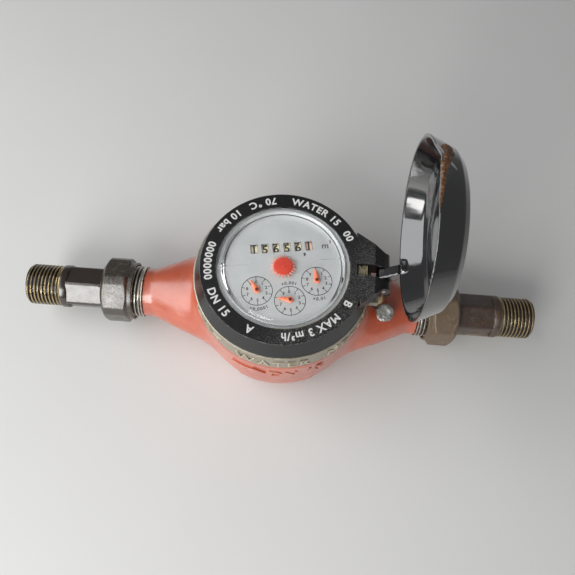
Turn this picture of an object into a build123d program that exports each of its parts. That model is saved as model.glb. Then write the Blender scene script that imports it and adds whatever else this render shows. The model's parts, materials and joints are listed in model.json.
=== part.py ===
"""Single-jet hot-water meter with two union tailpieces, in millimetres.

The origin is the middle of the flat base. X runs along the pipe from inlet to outlet,
Y points away from the front and Z points up. The lid stands open at rest.
"""
from build123d import *
import math
import os

# ---- overall sizes ----
BODY_LENGTH = 165.0          # end face to end face, the standard length for a 15 mm meter
PIPE_HEIGHT = 20.0           # pipe axis above the base
CUP_RADIUS = 42.4
CUP_TOP = 41.0
BASE_RADIUS = 30.0
BASE_CURVE_HEIGHT = 17.0     # height at which the wall of the cup turns upright

# ---- casting ----
CHAMBER_RADIUS = 28.5
CHAMBER_FLOOR = 6.0
CHAMBER_TOP = 33.0
SEAT_RADIUS = 34.0
FLANK_START = 20.0           # distance from the register axis where a flank leaves the cup
FLANK_HALF_WIDTH = 34.0
FLANK_HALF_HEIGHT = 21.0
FLANK_LIFT = 2.0
NECK_RADIUS = 12.4
NECK_START = 66.0
BODY_THREAD_LENGTH = 12.0
BODY_THREAD_RADIUS = 13.22   # G 3/4 B
THREAD_PITCH = 1.814
THREAD_DEPTH = 1.16
WATERWAY_RADIUS = 7.5
JET_RADIUS = 5.0
JET_OFFSET = 19.0            # how far in front of the axis the jets enter the chamber
STRAINER_RADIUS = 9.4
STRAINER_DEPTH = 16.0
STRAINER_WALL = 1.0
STRAINER_SLOTS = 6
STRAINER_SLOT_WIDTH = 1.8

# ---- impeller and pressure plate ----
BEARING_RADIUS = 3.0
BEARING_SINK = 2.0
BEARING_TOP = 8.0
IMPELLER_SHAFT_RADIUS = 1.0
SHAFT_END_PLAY = 0.3
SHAFT_IN_PLATE = 1.5         # how far the shaft reaches into the pressure plate
VANE_COUNT = 8
VANE_THICKNESS = 1.3
IMPELLER_RADIUS = 26.5
VANE_LOW = 13.0
VANE_HIGH = 27.0
HUB_RADIUS = 5.0
HUB_LOW = 11.0
MAGNET_RADIUS = 7.0
MAGNET_HEIGHT = 3.5
FOLLOWER_HEIGHT = 2.8
PLATE_THICKNESS = 3.0
O_RING_RADIUS = 30.75        # middle of its section
O_RING_SECTION = 0.9
O_RING_GROOVE = 1.05         # half width of its groove

# ---- head ----
HEAD_THREAD_RADIUS = 37.4
HEAD_THREAD_START = 37.4
HEAD_RING_RADIUS = 42.2
HEAD_RING_TOP = 54.6
HEAD_GROOVE_PITCH = 1.5
HEAD_GROOVE_DEPTH = 0.7
SKIRT_RADIUS = 36.0          # skirt of the cover ring, inside the head ring
SKIRT_LOW = 44.0
LUG_REACH = 2.4              # drilled lug that takes the seal wire, outside the head ring
LUG_Y = -7.0
LUG_HALF_WIDTH = 2.2
LUG_LOW = 45.0
LUG_HIGH = 48.6
CAN_RADIUS = 33.3
CAN_WALL = 1.5
CAN_FLOOR = 1.2
CAN_GAP = 0.3                # from the dial and the movement to the wall of the can
CAN_TOP = 60.2
GASKET_THICKNESS = 0.7
RING_TOP = 63.4
RING_OUTER = 38.4            # outer edge of the flat top of the cover ring
RING_FLARE = 41.8            # outer edge at the bottom of the flared wall
RING_INNER = 31.0
LENS_FLAT_RADIUS = 27.5
LENS_TOP = 65.3
LENS_WALL = 2.0
LENS_FLANGE = 1.5
RIB_INNER = 15.5
RIB_WIDTH = 2.6
RIB_V = 1.9
RIB_HEIGHT = 0.35

# ---- lid ----
HINGE_X = 47.1
HINGE_Y = 0.8
HINGE_Z = 57.7
LID_OPEN_ANGLE = 88.7
LID_RIM_RADIUS = 37.4
LID_FACE_RADIUS = 31.3
LID_HEIGHT = 12.5
LID_WALL = 1.5
LID_GAP = 0.3
BEAK_REACH = 4.6
BEAK_HALF_WIDTH = 14.6
BEAK_TURN = -9.0             # from straight opposite the hinge, in degrees seen from above
TONGUE_WIDTH = 5.3
BARREL_RADIUS = 3.3
PIN_RADIUS = 1.25
EAR_GAP = 0.3                # each side of the tongue
EAR_BACK = 11.3              # far end of the ears along the pin
EAR_FRONT = -7.2

# ---- unions ----
NUT_FLATS = 31.0
NUT_LENGTH = 16.0
NUT_COLLAR_RADIUS = 14.9
NUT_COLLAR_LENGTH = 2.2
NUT_SHOULDER = 3.2
NUT_OVERLAP = 7.0            # length of body thread inside the nut
GASKET_LENGTH = 2.0
TAIL_LENGTH = 46.2
TAIL_RADIUS = 11.0
TAIL_FLATS = 19.7
TAIL_FLANGE_RADIUS = 12.3
TAIL_FLANGE_LENGTH = 3.6
TAIL_THREAD_RADIUS = 10.48   # R 1/2
TAIL_THREAD_LENGTH = 17.2
TAIL_COLLAR_LENGTH = 3.5
TAIL_BORE = 7.0
NUT_TURNS = {"inlet": 5.0, "outlet": 0.0}
HEX_TURNS = {"inlet": 15.6, "outlet": 0.0}

# ---- dial and movement ----
DIAL_TURN = 8.7              # the dial's own right-hand direction, in degrees from X
DIAL_TOP = 60.5
DIAL_THICKNESS = 0.6
SUBDIAL_DISTANCE = 16.95
SUBDIAL_ANGLES = (-140.0, -84.2, -28.4)
POINTER_LENGTH = 5.7
POINTER_ANGLES = (117.0, 166.0, 93.0)
POINTER_UNDERSIDE = 61.5
STAR_RADIUS = 6.1
STAR_INNER = 4.6
STAR_POINTS = 22
ARBOR_RADIUS = 0.8
RUNNING = 0.05               # radial clearance of a turning shaft
FITTED = 0.1                 # radial clearance of a part that is only pushed in
LOWER_PLATE = 42.0
UPPER_PLATE = 55.8
MOVEMENT_RADIUS = 30.6
MOVEMENT_PLATE = 1.0
PILLAR_RADIUS = 1.5
PILLAR_DISTANCE = 28.4
PILLAR_ANGLES = (112.0, 192.0, 303.0)
GEAR_THICKNESS = 0.8
LEVELS = (43.3, 44.5, 45.9, 47.1, 48.3, 49.5)   # undersides of the six layers of gears
IDLER_TOP_GAP = 0.2          # above the last gear of an idler that ends between the plates
BOSS_RADIUS = 2.0            # long bearing of an arbor that only the lower plate holds
BOSS_DEPTH = 2.0
MESH_SLACK = 1.04            # centre distances of a bent pair of meshes over the direct distance

# ---- counter ----
ROLLER_COUNT = 6
ROLLER_PITCH = 5.22
ROLLER_RADIUS = 6.9
ROLLER_WIDTH = 4.8
ROLLER_GEAR_WIDTH = 0.8
ROLLER_CARRY_WIDTH = 0.6
COUNTER_U = 0.2
COUNTER_V = 10.6
COUNTER_HEIGHT = 52.6
ROLLER_SHAFT_RADIUS = 1.0
CARRY_MODULE = 0.56
ROLLER_TEETH = 20
CARRY_TEETH = 8
CARRY_ANGLE = -25.0
CARRY_SHAFT_RADIUS = 0.7
CONTRATE_TEETH = 16
CONTRATE_PINION_TEETH = 8
CONTRATE_MODULE = 0.45
CONTRATE_TOOTH = 1.1
WINDOW_WIDTH = 3.4
WINDOW_HEIGHT = 4.9
CHEEK = 1.0
ROLLER_END_GAP = 1.15        # from the last roller to the left cheek

# ---- seal ----
SEAL_SCREW_REACH = 5.9       # seal screw outside the cup
SEAL_SCREW_Y = -1.5
SEAL_HEAD_RADIUS = 3.4
SEAL_SHANK_RADIUS = 2.0
SEAL_FOOT = 30.5
SEAL_SEAT = 36.0
SEAL_HOLE_HEIGHT = 40.2
SEAL_HEAD_TOP = 42.2
WIRE_RADIUS = 0.45
WIRE_HOLE = 0.75
LEAD_RADIUS = 4.6
LEAD_THICKNESS = 3.4
LEAD_PLACE = (3.1, -8.4, 38.9)   # from the seal screw in X and Y, height above the base

LIFT = (Align.CENTER, Align.CENTER, Align.MIN)
FAR = 60.0                   # longer than anything it cuts
BODY_END = BODY_LENGTH / 2
LUG_X = HEAD_RING_RADIUS + LUG_REACH
SEAL_SCREW_X = CUP_RADIUS + SEAL_SCREW_REACH
LEAD_CENTRE = (SEAL_SCREW_X + LEAD_PLACE[0], SEAL_SCREW_Y + LEAD_PLACE[1], LEAD_PLACE[2])
NUT_LOW = BODY_END - NUT_OVERLAP
TAIL_START = BODY_END + GASKET_LENGTH
TAIL_END = TAIL_START + TAIL_LENGTH
PLATE_TOP = CHAMBER_TOP + PLATE_THICKNESS
SIDES = {"inlet": -1, "outlet": 1}

parts = {}


# ---- helpers ----
def rod(radius, low, high, x=0.0, y=0.0):
    """An upright cylinder between two heights."""
    return Pos(x, y, low) * Cylinder(radius, high - low, align=LIFT)


def tube(outer, inner, low, high, x=0.0, y=0.0):
    """An upright tube between two heights."""
    return rod(outer, low, high, x, y) - rod(inner, low, high, x, y)


def turned(points):
    """A solid of revolution about Z, from (radius, height) points."""
    outline = Polyline([(r, 0, z) for r, z in points], close=True)
    return revolve(make_face(outline), axis=Axis.Z)


def threaded(radius, depth, pitch, low, high):
    """(radius, height) points of ring-shaped thread crests between two heights, from bottom to top."""
    turns = int((high - low) / pitch)
    start = low + (high - low - turns * pitch) / 2
    points = [(radius - depth, low)]
    for turn in range(turns):
        foot = start + turn * pitch
        points.append((radius - depth, foot + 0.05 * pitch))
        points.append((radius, foot + 0.40 * pitch))
        points.append((radius, foot + 0.60 * pitch))
        points.append((radius - depth, foot + 0.95 * pitch))
    points.append((radius - depth, high))
    return points


def box_between(low, high):
    """A box from its lowest to its highest corner."""
    size = [b - a for a, b in zip(low, high)]
    middle = [(a + b) / 2 for a, b in zip(low, high)]
    return Pos(*middle) * Box(*size)


def along_pipe(shape, side):
    """Lays an upright shape along the pipe, so that its height is the distance from the middle."""
    return Pos(0, 0, PIPE_HEIGHT) * Rot(0, 90 * side, 0) * shape


def polar(distance, degrees):
    """(u, v) of a point at a distance and an angle from the dial's centre."""
    return distance * math.cos(math.radians(degrees)), distance * math.sin(math.radians(degrees))


def on_dial(shape):
    """Turns a shape from the dial's own frame into the part's frame."""
    return Rot(0, 0, DIAL_TURN) * shape


# ---- gears ----
def gear(teeth, module, low, height, phase=0.0, add=0.85, dedend=1.15):
    """A spur gear with a tooth centred at angle phase, in radians."""
    pitch = 2 * math.pi / teeth
    root = module * (teeth / 2 - dedend)
    tip = module * (teeth / 2 + add)
    points = []
    for tooth in range(teeth):
        middle = phase + tooth * pitch
        for radius, share in ((root, -0.24), (tip, -0.10), (tip, 0.10), (root, 0.24)):
            angle = middle + share * pitch
            points.append((radius * math.cos(angle), radius * math.sin(angle)))
    return Pos(0, 0, low) * extrude(make_face(Polyline(points, close=True)), height)


def mating_phase(driver_teeth, teeth, module, start, end):
    """Phase of a gear at end that meshes with one at start whose own phase is 0."""
    angle = math.atan2(end[1] - start[1], end[0] - start[0])
    driver_radius = driver_teeth * module / 2
    radius = teeth * module / 2
    return angle + math.pi - (-angle * driver_radius + math.pi * module / 2) / radius


def bent_pair(start, end, first, second, side):
    """Module and middle centre of two meshes in a row, which join start to end by a bent line.

    first and second hold each mesh's (driver, follower) teeth. side is 1 to bend left, -1 right.
    """
    distance = math.dist(start, end)
    module = 2 * distance * MESH_SLACK / (sum(first) + sum(second))
    near = module * sum(first) / 2
    far = module * sum(second) / 2
    along = (near ** 2 - far ** 2 + distance ** 2) / (2 * distance)
    across = side * math.sqrt(near ** 2 - along ** 2)
    du = (end[0] - start[0]) / distance
    dv = (end[1] - start[1]) / distance
    return module, (start[0] + along * du - across * dv, start[1] + along * dv + across * du)


# ---- layout of the train, in the dial's frame ----
CENTRE = (0.0, 0.0)
DIALS = [polar(SUBDIAL_DISTANCE, angle) for angle in SUBDIAL_ANGLES]
STAR_MESH = (8, 36)
REDUCTION_MESH = (9, 40)
DECADE_IN = (8, 24)
DECADE_OUT = (9, 30)
DRIVE_IN = (8, 20)
DRIVE_OUT = (10, 20)
CONTRATE_RADIUS = CONTRATE_TEETH * CONTRATE_MODULE / 2
CONTRATE_PINION_RADIUS = CONTRATE_PINION_TEETH * CONTRATE_MODULE / 2
ROLLER_RIGHT = COUNTER_U + (ROLLER_COUNT - 1) / 2 * ROLLER_PITCH + ROLLER_WIDTH / 2
ROLLER_LEFT = COUNTER_U - (ROLLER_COUNT - 1) / 2 * ROLLER_PITCH - ROLLER_WIDTH / 2
CONTRATE_DISC = 1.0
CONTRATE_PLANE = ROLLER_RIGHT + CONTRATE_DISC + CONTRATE_TOOTH / 2
DRIVE = (CONTRATE_PLANE + CONTRATE_PINION_RADIUS, COUNTER_V)
MODULE_A, REDUCTION = bent_pair(CENTRE, DIALS[0], STAR_MESH, REDUCTION_MESH, -1)
MODULE_B, IDLER_B = bent_pair(DIALS[0], DIALS[1], DECADE_IN, DECADE_OUT, -1)
MODULE_C, IDLER_C = bent_pair(DIALS[1], DIALS[2], DECADE_IN, DECADE_OUT, -1)
MODULE_D, IDLER_D = bent_pair(DIALS[2], DRIVE, DRIVE_IN, DRIVE_OUT, 1)
CARRY_DISTANCE = CARRY_MODULE * (ROLLER_TEETH + CARRY_TEETH) / 2
CARRY_V = COUNTER_V + CARRY_DISTANCE * math.cos(math.radians(CARRY_ANGLE))
CARRY_HEIGHT = COUNTER_HEIGHT + CARRY_DISTANCE * math.sin(math.radians(CARRY_ANGLE))
ARBOR_CENTRES = [CENTRE, REDUCTION, IDLER_B, IDLER_C, IDLER_D, DRIVE] + DIALS
CHEEK_LEFT = ROLLER_LEFT - ROLLER_END_GAP - CHEEK
CHEEK_RIGHT = DRIVE[0] + CONTRATE_PINION_RADIUS + 2.0
FRAME_BACK = CARRY_V + 3.0
FRAME_STEP = COUNTER_U + ROLLER_COUNT / 2 * ROLLER_PITCH    # to its right the back wall is taller


# ---- casting ----
def flank(side):
    """One tapered side of the casting, its neck and its union thread."""
    facing = {"x_dir": (0, 1, 0), "z_dir": (side, 0, 0)}
    wide = Plane(origin=(side * FLANK_START, 0, PIPE_HEIGHT + FLANK_LIFT), **facing)
    narrow = Plane(origin=(side * NECK_START, 0, PIPE_HEIGHT), **facing)
    sections = [wide * Ellipse(FLANK_HALF_WIDTH, FLANK_HALF_HEIGHT), narrow * Circle(NECK_RADIUS)]
    start = BODY_END - BODY_THREAD_LENGTH
    thread = [(0, start)] + threaded(BODY_THREAD_RADIUS, THREAD_DEPTH, THREAD_PITCH, start, BODY_END)
    neck = rod(NECK_RADIUS, NECK_START - 0.5, start) + turned(thread + [(0, BODY_END)])
    return loft(sections, ruled=True) + along_pipe(neck, side)


def waterway(side):
    """The bore from one end and the slanted jet that enters the chamber in front of the axis."""
    bore = along_pipe(rod(WATERWAY_RADIUS, NECK_START - STRAINER_DEPTH, BODY_END + 1), side)
    if side < 0:
        bore += along_pipe(rod(STRAINER_RADIUS, BODY_END - STRAINER_DEPTH, BODY_END + 1), side)
    start = Vector(side * (NECK_START - STRAINER_DEPTH + 4), 0, PIPE_HEIGHT)
    end = Vector(side * CHAMBER_RADIUS * 0.6, -JET_OFFSET, PIPE_HEIGHT)
    jet = Plane(origin=start, z_dir=end - start) * Cylinder(JET_RADIUS, (end - start).length, align=LIFT)
    return bore + jet + Pos(*start) * Sphere(WATERWAY_RADIUS)


def meter_body():
    """Cup, two flanks, chamber, register seat and the seats of bearing and seal screw."""
    wall = Polyline((BASE_RADIUS, 0, 0), (0, 0, 0), (0, 0, CUP_TOP), (CUP_RADIUS, 0, CUP_TOP),
                    (CUP_RADIUS, 0, BASE_CURVE_HEIGHT))
    curve = ThreePointArc((CUP_RADIUS, 0, BASE_CURVE_HEIGHT),
                          ((BASE_RADIUS + 2.4 * CUP_RADIUS) / 3.4, 0, BASE_CURVE_HEIGHT * 0.30),
                          (BASE_RADIUS, 0, 0))
    body = revolve(make_face([wall, curve]), axis=Axis.Z)
    for side in SIDES.values():
        body += flank(side)
    body -= rod(CHAMBER_RADIUS, CHAMBER_FLOOR, CUP_TOP)
    body -= rod(SEAT_RADIUS, CHAMBER_TOP, CUP_TOP + 1)
    body -= rod(HEAD_THREAD_RADIUS + FITTED, PLATE_TOP, CUP_TOP + FLANK_HALF_HEIGHT)
    for side in SIDES.values():
        body -= waterway(side)
    body -= rod(BEARING_RADIUS, CHAMBER_FLOOR - BEARING_SINK, CHAMBER_FLOOR)
    body -= rod(SEAL_SHANK_RADIUS + RUNNING, SEAL_FOOT, FAR, SEAL_SCREW_X, SEAL_SCREW_Y)
    body -= rod(SEAL_HEAD_RADIUS + RUNNING, SEAL_SEAT, FAR, SEAL_SCREW_X, SEAL_SCREW_Y)
    return body


# ---- wet side ----
def make_wet_side():
    """Impeller, its shaft and bearings, the strainer and the pressure plate with its seal."""
    hole = IMPELLER_SHAFT_RADIUS + RUNNING
    shaft_top = CHAMBER_TOP + SHAFT_IN_PLATE
    bearing = rod(BEARING_RADIUS, CHAMBER_FLOOR - BEARING_SINK, BEARING_TOP)
    parts["lower_bearing"] = bearing - rod(hole, CHAMBER_FLOOR, BEARING_TOP)
    parts["impeller_shaft"] = rod(IMPELLER_SHAFT_RADIUS, CHAMBER_FLOOR + SHAFT_END_PLAY,
                                  shaft_top - SHAFT_END_PLAY)
    impeller = rod(HUB_RADIUS, HUB_LOW, VANE_HIGH)
    half = VANE_THICKNESS / 2
    vane = box_between((0, -half, VANE_LOW), (IMPELLER_RADIUS, half, VANE_HIGH))
    for number in range(VANE_COUNT):
        impeller += Rot(0, 0, number * 360 / VANE_COUNT) * vane
    web = tube(IMPELLER_RADIUS * 0.75, HUB_RADIUS - 1, VANE_LOW, VANE_LOW + VANE_THICKNESS)
    parts["impeller"] = impeller + web - rod(IMPELLER_SHAFT_RADIUS, HUB_LOW - 1, VANE_HIGH + 1)
    parts["impeller_magnet"] = tube(MAGNET_RADIUS, IMPELLER_SHAFT_RADIUS, VANE_HIGH,
                                    VANE_HIGH + MAGNET_HEIGHT)
    groove = tube(O_RING_RADIUS + O_RING_GROOVE, O_RING_RADIUS - O_RING_GROOVE, CHAMBER_TOP,
                  CHAMBER_TOP + 2 * O_RING_SECTION)
    plate = rod(SEAT_RADIUS - FITTED, CHAMBER_TOP, PLATE_TOP) - groove
    parts["pressure_plate"] = plate - rod(hole, CHAMBER_TOP, shaft_top)
    o_ring = Torus(O_RING_RADIUS, O_RING_SECTION)
    parts["pressure_plate_o_ring"] = Pos(0, 0, CHAMBER_TOP + O_RING_SECTION) * o_ring
    parts["inlet_strainer"] = strainer()


def strainer():
    """A cup with slots, pushed into the inlet bore with its floor towards the jet."""
    outer = STRAINER_RADIUS - RUNNING
    low = BODY_END - STRAINER_DEPTH
    high = BODY_END - 0.5
    half = STRAINER_SLOT_WIDTH / 2
    basket = rod(outer, low, high) - rod(outer - STRAINER_WALL, low + STRAINER_WALL, high)
    for number in range(STRAINER_SLOTS):
        slot = box_between((2.0, -half, low - 1), (WATERWAY_RADIUS - 0.6, half, low + 2))
        basket -= Rot(0, 0, number * 360 / STRAINER_SLOTS) * slot
    return along_pipe(basket, -1)


# ---- head ----
def make_head():
    """Head ring, register can, lens, its gasket and the cover ring."""
    bore = CAN_RADIUS + 0.2
    crests = threaded(HEAD_THREAD_RADIUS, HEAD_GROOVE_DEPTH, HEAD_GROOVE_PITCH, HEAD_THREAD_START, CUP_TOP)
    ring = turned([(bore, HEAD_THREAD_START)] + crests + [(bore, CUP_TOP)])
    ring += tube(HEAD_RING_RADIUS, bore, CUP_TOP, HEAD_RING_TOP)
    ring -= rod(SKIRT_RADIUS + FITTED, SKIRT_LOW, HEAD_RING_TOP)
    lug = box_between((HEAD_RING_RADIUS - 2.3, LUG_Y - LUG_HALF_WIDTH, LUG_LOW),
                      (LUG_X + 2.0, LUG_Y + LUG_HALF_WIDTH, LUG_HIGH))
    ring += lug - rod(WIRE_HOLE, LUG_LOW, LUG_HIGH, LUG_X, LUG_Y)
    parts["head_ring"] = ring
    can = rod(CAN_RADIUS, PLATE_TOP, CAN_TOP) + rod(HEAD_THREAD_RADIUS - 1.0, PLATE_TOP, HEAD_THREAD_START)
    parts["register_cup"] = can - rod(CAN_RADIUS - CAN_WALL, PLATE_TOP + CAN_FLOOR, CAN_TOP)
    shoulder = CAN_TOP + GASKET_THICKNESS
    parts["lens_gasket"] = tube(CAN_RADIUS, CAN_RADIUS - CAN_WALL, CAN_TOP, shoulder)
    parts["lens"] = lens(shoulder)
    parts["cover_ring"] = cover_ring(shoulder)


def lens(shoulder):
    """The clear window: a flange, a bevel, a flat top and two raised ribs."""
    flange_top = shoulder + LENS_FLANGE
    edge = RING_INNER - 0.1
    profile = [(0, LENS_TOP - LENS_WALL), (LENS_FLAT_RADIUS - 1.2, LENS_TOP - LENS_WALL),
               (edge - LENS_WALL, flange_top), (edge - LENS_WALL, shoulder), (CAN_RADIUS, shoulder),
               (CAN_RADIUS, flange_top), (edge, flange_top), (edge, RING_TOP),
               (LENS_FLAT_RADIUS, LENS_TOP), (0, LENS_TOP)]
    window = turned(profile)
    rib = box_between((RIB_INNER, RIB_V - RIB_WIDTH / 2, LENS_TOP - 0.2),
                      (LENS_FLAT_RADIUS - 0.6, RIB_V + RIB_WIDTH / 2, LENS_TOP + RIB_HEIGHT))
    return window + on_dial(rib) + on_dial(mirror(rib, about=Plane.YZ))


def cover_ring(shoulder):
    """The black ring over the lens flange, with its skirt, the two hinge ears and the latch notch."""
    flange_top = shoulder + LENS_FLANGE
    profile = [(CAN_RADIUS + FITTED, SKIRT_LOW), (SKIRT_RADIUS, SKIRT_LOW), (SKIRT_RADIUS, HEAD_RING_TOP),
               (RING_FLARE, HEAD_RING_TOP), (RING_OUTER, RING_TOP), (RING_INNER, RING_TOP),
               (RING_INNER, flange_top), (CAN_RADIUS + FITTED, flange_top)]
    ring = turned(profile) + ears()
    slot_half = TONGUE_WIDTH / 2 + EAR_GAP
    slot = box_between((RING_OUTER + 0.8, HINGE_Y - slot_half, HEAD_RING_TOP - 2),
                       (HINGE_X + 9, HINGE_Y + slot_half, RING_TOP + 2))
    notch = box_between((RING_INNER + 3.2, HINGE_Y - slot_half, RING_TOP - 2.2),
                        (RING_OUTER + 1.2, HINGE_Y + slot_half, RING_TOP + 2))
    pin = Pos(HINGE_X, HINGE_Y, HINGE_Z) * Rot(90, 0, 0) * Cylinder(PIN_RADIUS, FAR)
    return ring - slot - notch - pin


def ears():
    """The triangular flare behind the ring that carries the hinge pin."""
    tip = HINGE_X + BARREL_RADIUS
    plan = Polyline([(RING_INNER + 3, EAR_BACK + 9), (HINGE_X - 2.6, EAR_BACK + 2.2),
                     (HINGE_X + 1, EAR_BACK), (tip, EAR_BACK), (tip, EAR_FRONT), (HINGE_X, EAR_FRONT),
                     (HINGE_X - 5, EAR_FRONT - 4.2), (RING_INNER + 5, EAR_FRONT - 9.5)], close=True)
    block = Pos(0, 0, HEAD_RING_TOP) * extrude(make_face(plan), RING_TOP - HEAD_RING_TOP)
    side = Polyline([(RING_INNER, -40, HEAD_RING_TOP), (HINGE_X, -40, HEAD_RING_TOP),
                     (HINGE_X + 1, -40, HINGE_Z + BARREL_RADIUS), (HINGE_X - 4.5, -40, RING_TOP),
                     (RING_INNER, -40, RING_TOP)], close=True)
    shape = extrude(make_face(side), 80, dir=(0, 1, 0))
    shape += Pos(HINGE_X, 0, HINGE_Z) * Rot(90, 0, 0) * Cylinder(BARREL_RADIUS, 80)
    return block & shape - rod(CAN_RADIUS + FITTED, 0, RING_TOP + 1)


# ---- lid ----
def beak(reach, half_width, rim, face, low, high):
    """The pointed thumb lift: two flat facets that meet in a crease and run out at the lid's face."""
    tip = (-rim - reach, 0, low)
    left = (-math.sqrt(rim ** 2 - half_width ** 2), half_width, low)
    right = (left[0], -half_width, low)
    top = (-face + 0.5, 0, high)
    faces = [make_face(Polyline(corners, close=True))
             for corners in ((tip, left, right), (tip, left, top), (tip, right, top), (left, right, top))]
    return Solid(Shell(faces))


def closed_lid():
    """The lid shut over the ring: a shallow tapered cap with its beak and hinge tongue."""
    low = RING_TOP + LID_GAP
    high = low + LID_HEIGHT
    rim, face = LID_RIM_RADIUS, LID_FACE_RADIUS
    outer = turned([(0, low), (rim, low), (face + 1.6, high - 2.6), (face - 1.2, high), (0, high)])
    outer += Rot(0, 0, BEAK_TURN) * beak(BEAK_REACH, BEAK_HALF_WIDTH, rim, face, low, high - 2.0)
    top = high - LID_WALL
    inner = turned([(0, low), (rim - LID_WALL, low), (face + 1.6 - LID_WALL, top - 2.2),
                    (face - 2.4, top), (0, top)])
    hollow = beak(BEAK_REACH, BEAK_HALF_WIDTH - 1.2, rim - LID_WALL, face - LID_WALL, low, top - 2.0)
    inner += Rot(0, 0, BEAK_TURN) * hollow
    half = TONGUE_WIDTH / 2
    arm = Polyline([(rim - 3.0, low), (rim + 1.0, low), (HINGE_X - 2.2, HINGE_Z - 2.2),
                    (HINGE_X + 2.2, HINGE_Z + 2.3), (rim + 1.6, low + 5.6),
                    (rim - 3.4, low + 5.6)], close=True)
    plane = Plane(origin=(0, HINGE_Y + half, 0), x_dir=(1, 0, 0), z_dir=(0, -1, 0))
    tongue = extrude(plane * make_face(arm), TONGUE_WIDTH)
    tongue += Pos(HINGE_X, HINGE_Y, HINGE_Z) * Rot(90, 0, 0) * Cylinder(BARREL_RADIUS, TONGUE_WIDTH)
    hole = Pos(HINGE_X, HINGE_Y, HINGE_Z) * Rot(90, 0, 0) * Cylinder(PIN_RADIUS + RUNNING, FAR)
    return outer - inner + tongue - hole


def make_lid():
    """The lid, swung open about the hinge pin, and the pin."""
    to_hinge = Pos(HINGE_X, HINGE_Y, HINGE_Z)
    parts["lid"] = to_hinge * Rot(0, LID_OPEN_ANGLE, 0) * to_hinge.inverse() * closed_lid()
    middle = (EAR_BACK + EAR_FRONT) / 2
    parts["hinge_pin"] = Pos(HINGE_X, middle, HINGE_Z) * Rot(90, 0, 0) * Cylinder(
        PIN_RADIUS, EAR_BACK - EAR_FRONT)


# ---- unions ----
def union_nut(side, turn):
    """A hexagon nut with chamfered corners, a round collar and a shoulder that catches the tailpiece."""
    high = NUT_LOW + NUT_LENGTH
    corner = NUT_FLATS / math.sqrt(3)
    collar_end = NUT_LOW + NUT_COLLAR_LENGTH
    hexagon = Pos(0, 0, NUT_LOW) * extrude(RegularPolygon(corner, 6), NUT_LENGTH)
    cone = turned([(0, NUT_LOW), (NUT_COLLAR_RADIUS, NUT_LOW), (NUT_COLLAR_RADIUS, collar_end),
                   (corner + 0.5, collar_end + 2.2), (corner + 0.5, high - 3.2),
                   (TAIL_FLANGE_RADIUS + 1.2, high), (0, high)])
    nut = Rot(0, 0, turn) * (hexagon & cone)
    nut -= rod(BODY_THREAD_RADIUS + 0.15, NUT_LOW - 1, high - NUT_SHOULDER)
    nut -= rod(TAIL_RADIUS + 0.3, NUT_LOW, high + 1)
    return along_pipe(nut, side)


def tailpiece(side, turn):
    """Flange, hexagon, plain collar and pipe thread around one bore."""
    thread_start = TAIL_END - TAIL_THREAD_LENGTH
    hex_end = thread_start - TAIL_COLLAR_LENGTH
    hex_start = NUT_LOW + NUT_LENGTH + 0.8
    root = TAIL_THREAD_RADIUS - THREAD_DEPTH
    crests = threaded(TAIL_THREAD_RADIUS, THREAD_DEPTH, THREAD_PITCH, thread_start, TAIL_END - 0.6)
    thread = turned([(0, thread_start)] + crests + [(root, TAIL_END), (0, TAIL_END)])
    hexagon = RegularPolygon(TAIL_FLATS / math.sqrt(3), 6)
    flats = Pos(0, 0, hex_start) * extrude(hexagon, hex_end - hex_start)
    tail = rod(TAIL_FLANGE_RADIUS, TAIL_START, TAIL_START + TAIL_FLANGE_LENGTH)
    tail += rod(TAIL_RADIUS, TAIL_START, hex_start)
    tail += Rot(0, 0, turn) * flats & rod(TAIL_RADIUS, hex_start, hex_end)
    tail += rod(TAIL_RADIUS, hex_end, thread_start) + thread
    return along_pipe(tail - rod(TAIL_BORE, TAIL_START - 1, TAIL_END + 1), side)


def make_unions():
    """Gasket, tailpiece and nut at each end."""
    for end, side in SIDES.items():
        gasket = tube(TAIL_FLANGE_RADIUS - 0.3, TAIL_BORE + 1.5, BODY_END, TAIL_START)
        parts[f"{end}_gasket"] = along_pipe(gasket, side)
        parts[f"{end}_tailpiece"] = tailpiece(side, HEX_TURNS[end])
        parts[f"{end}_union_nut"] = union_nut(side, NUT_TURNS[end])


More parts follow.
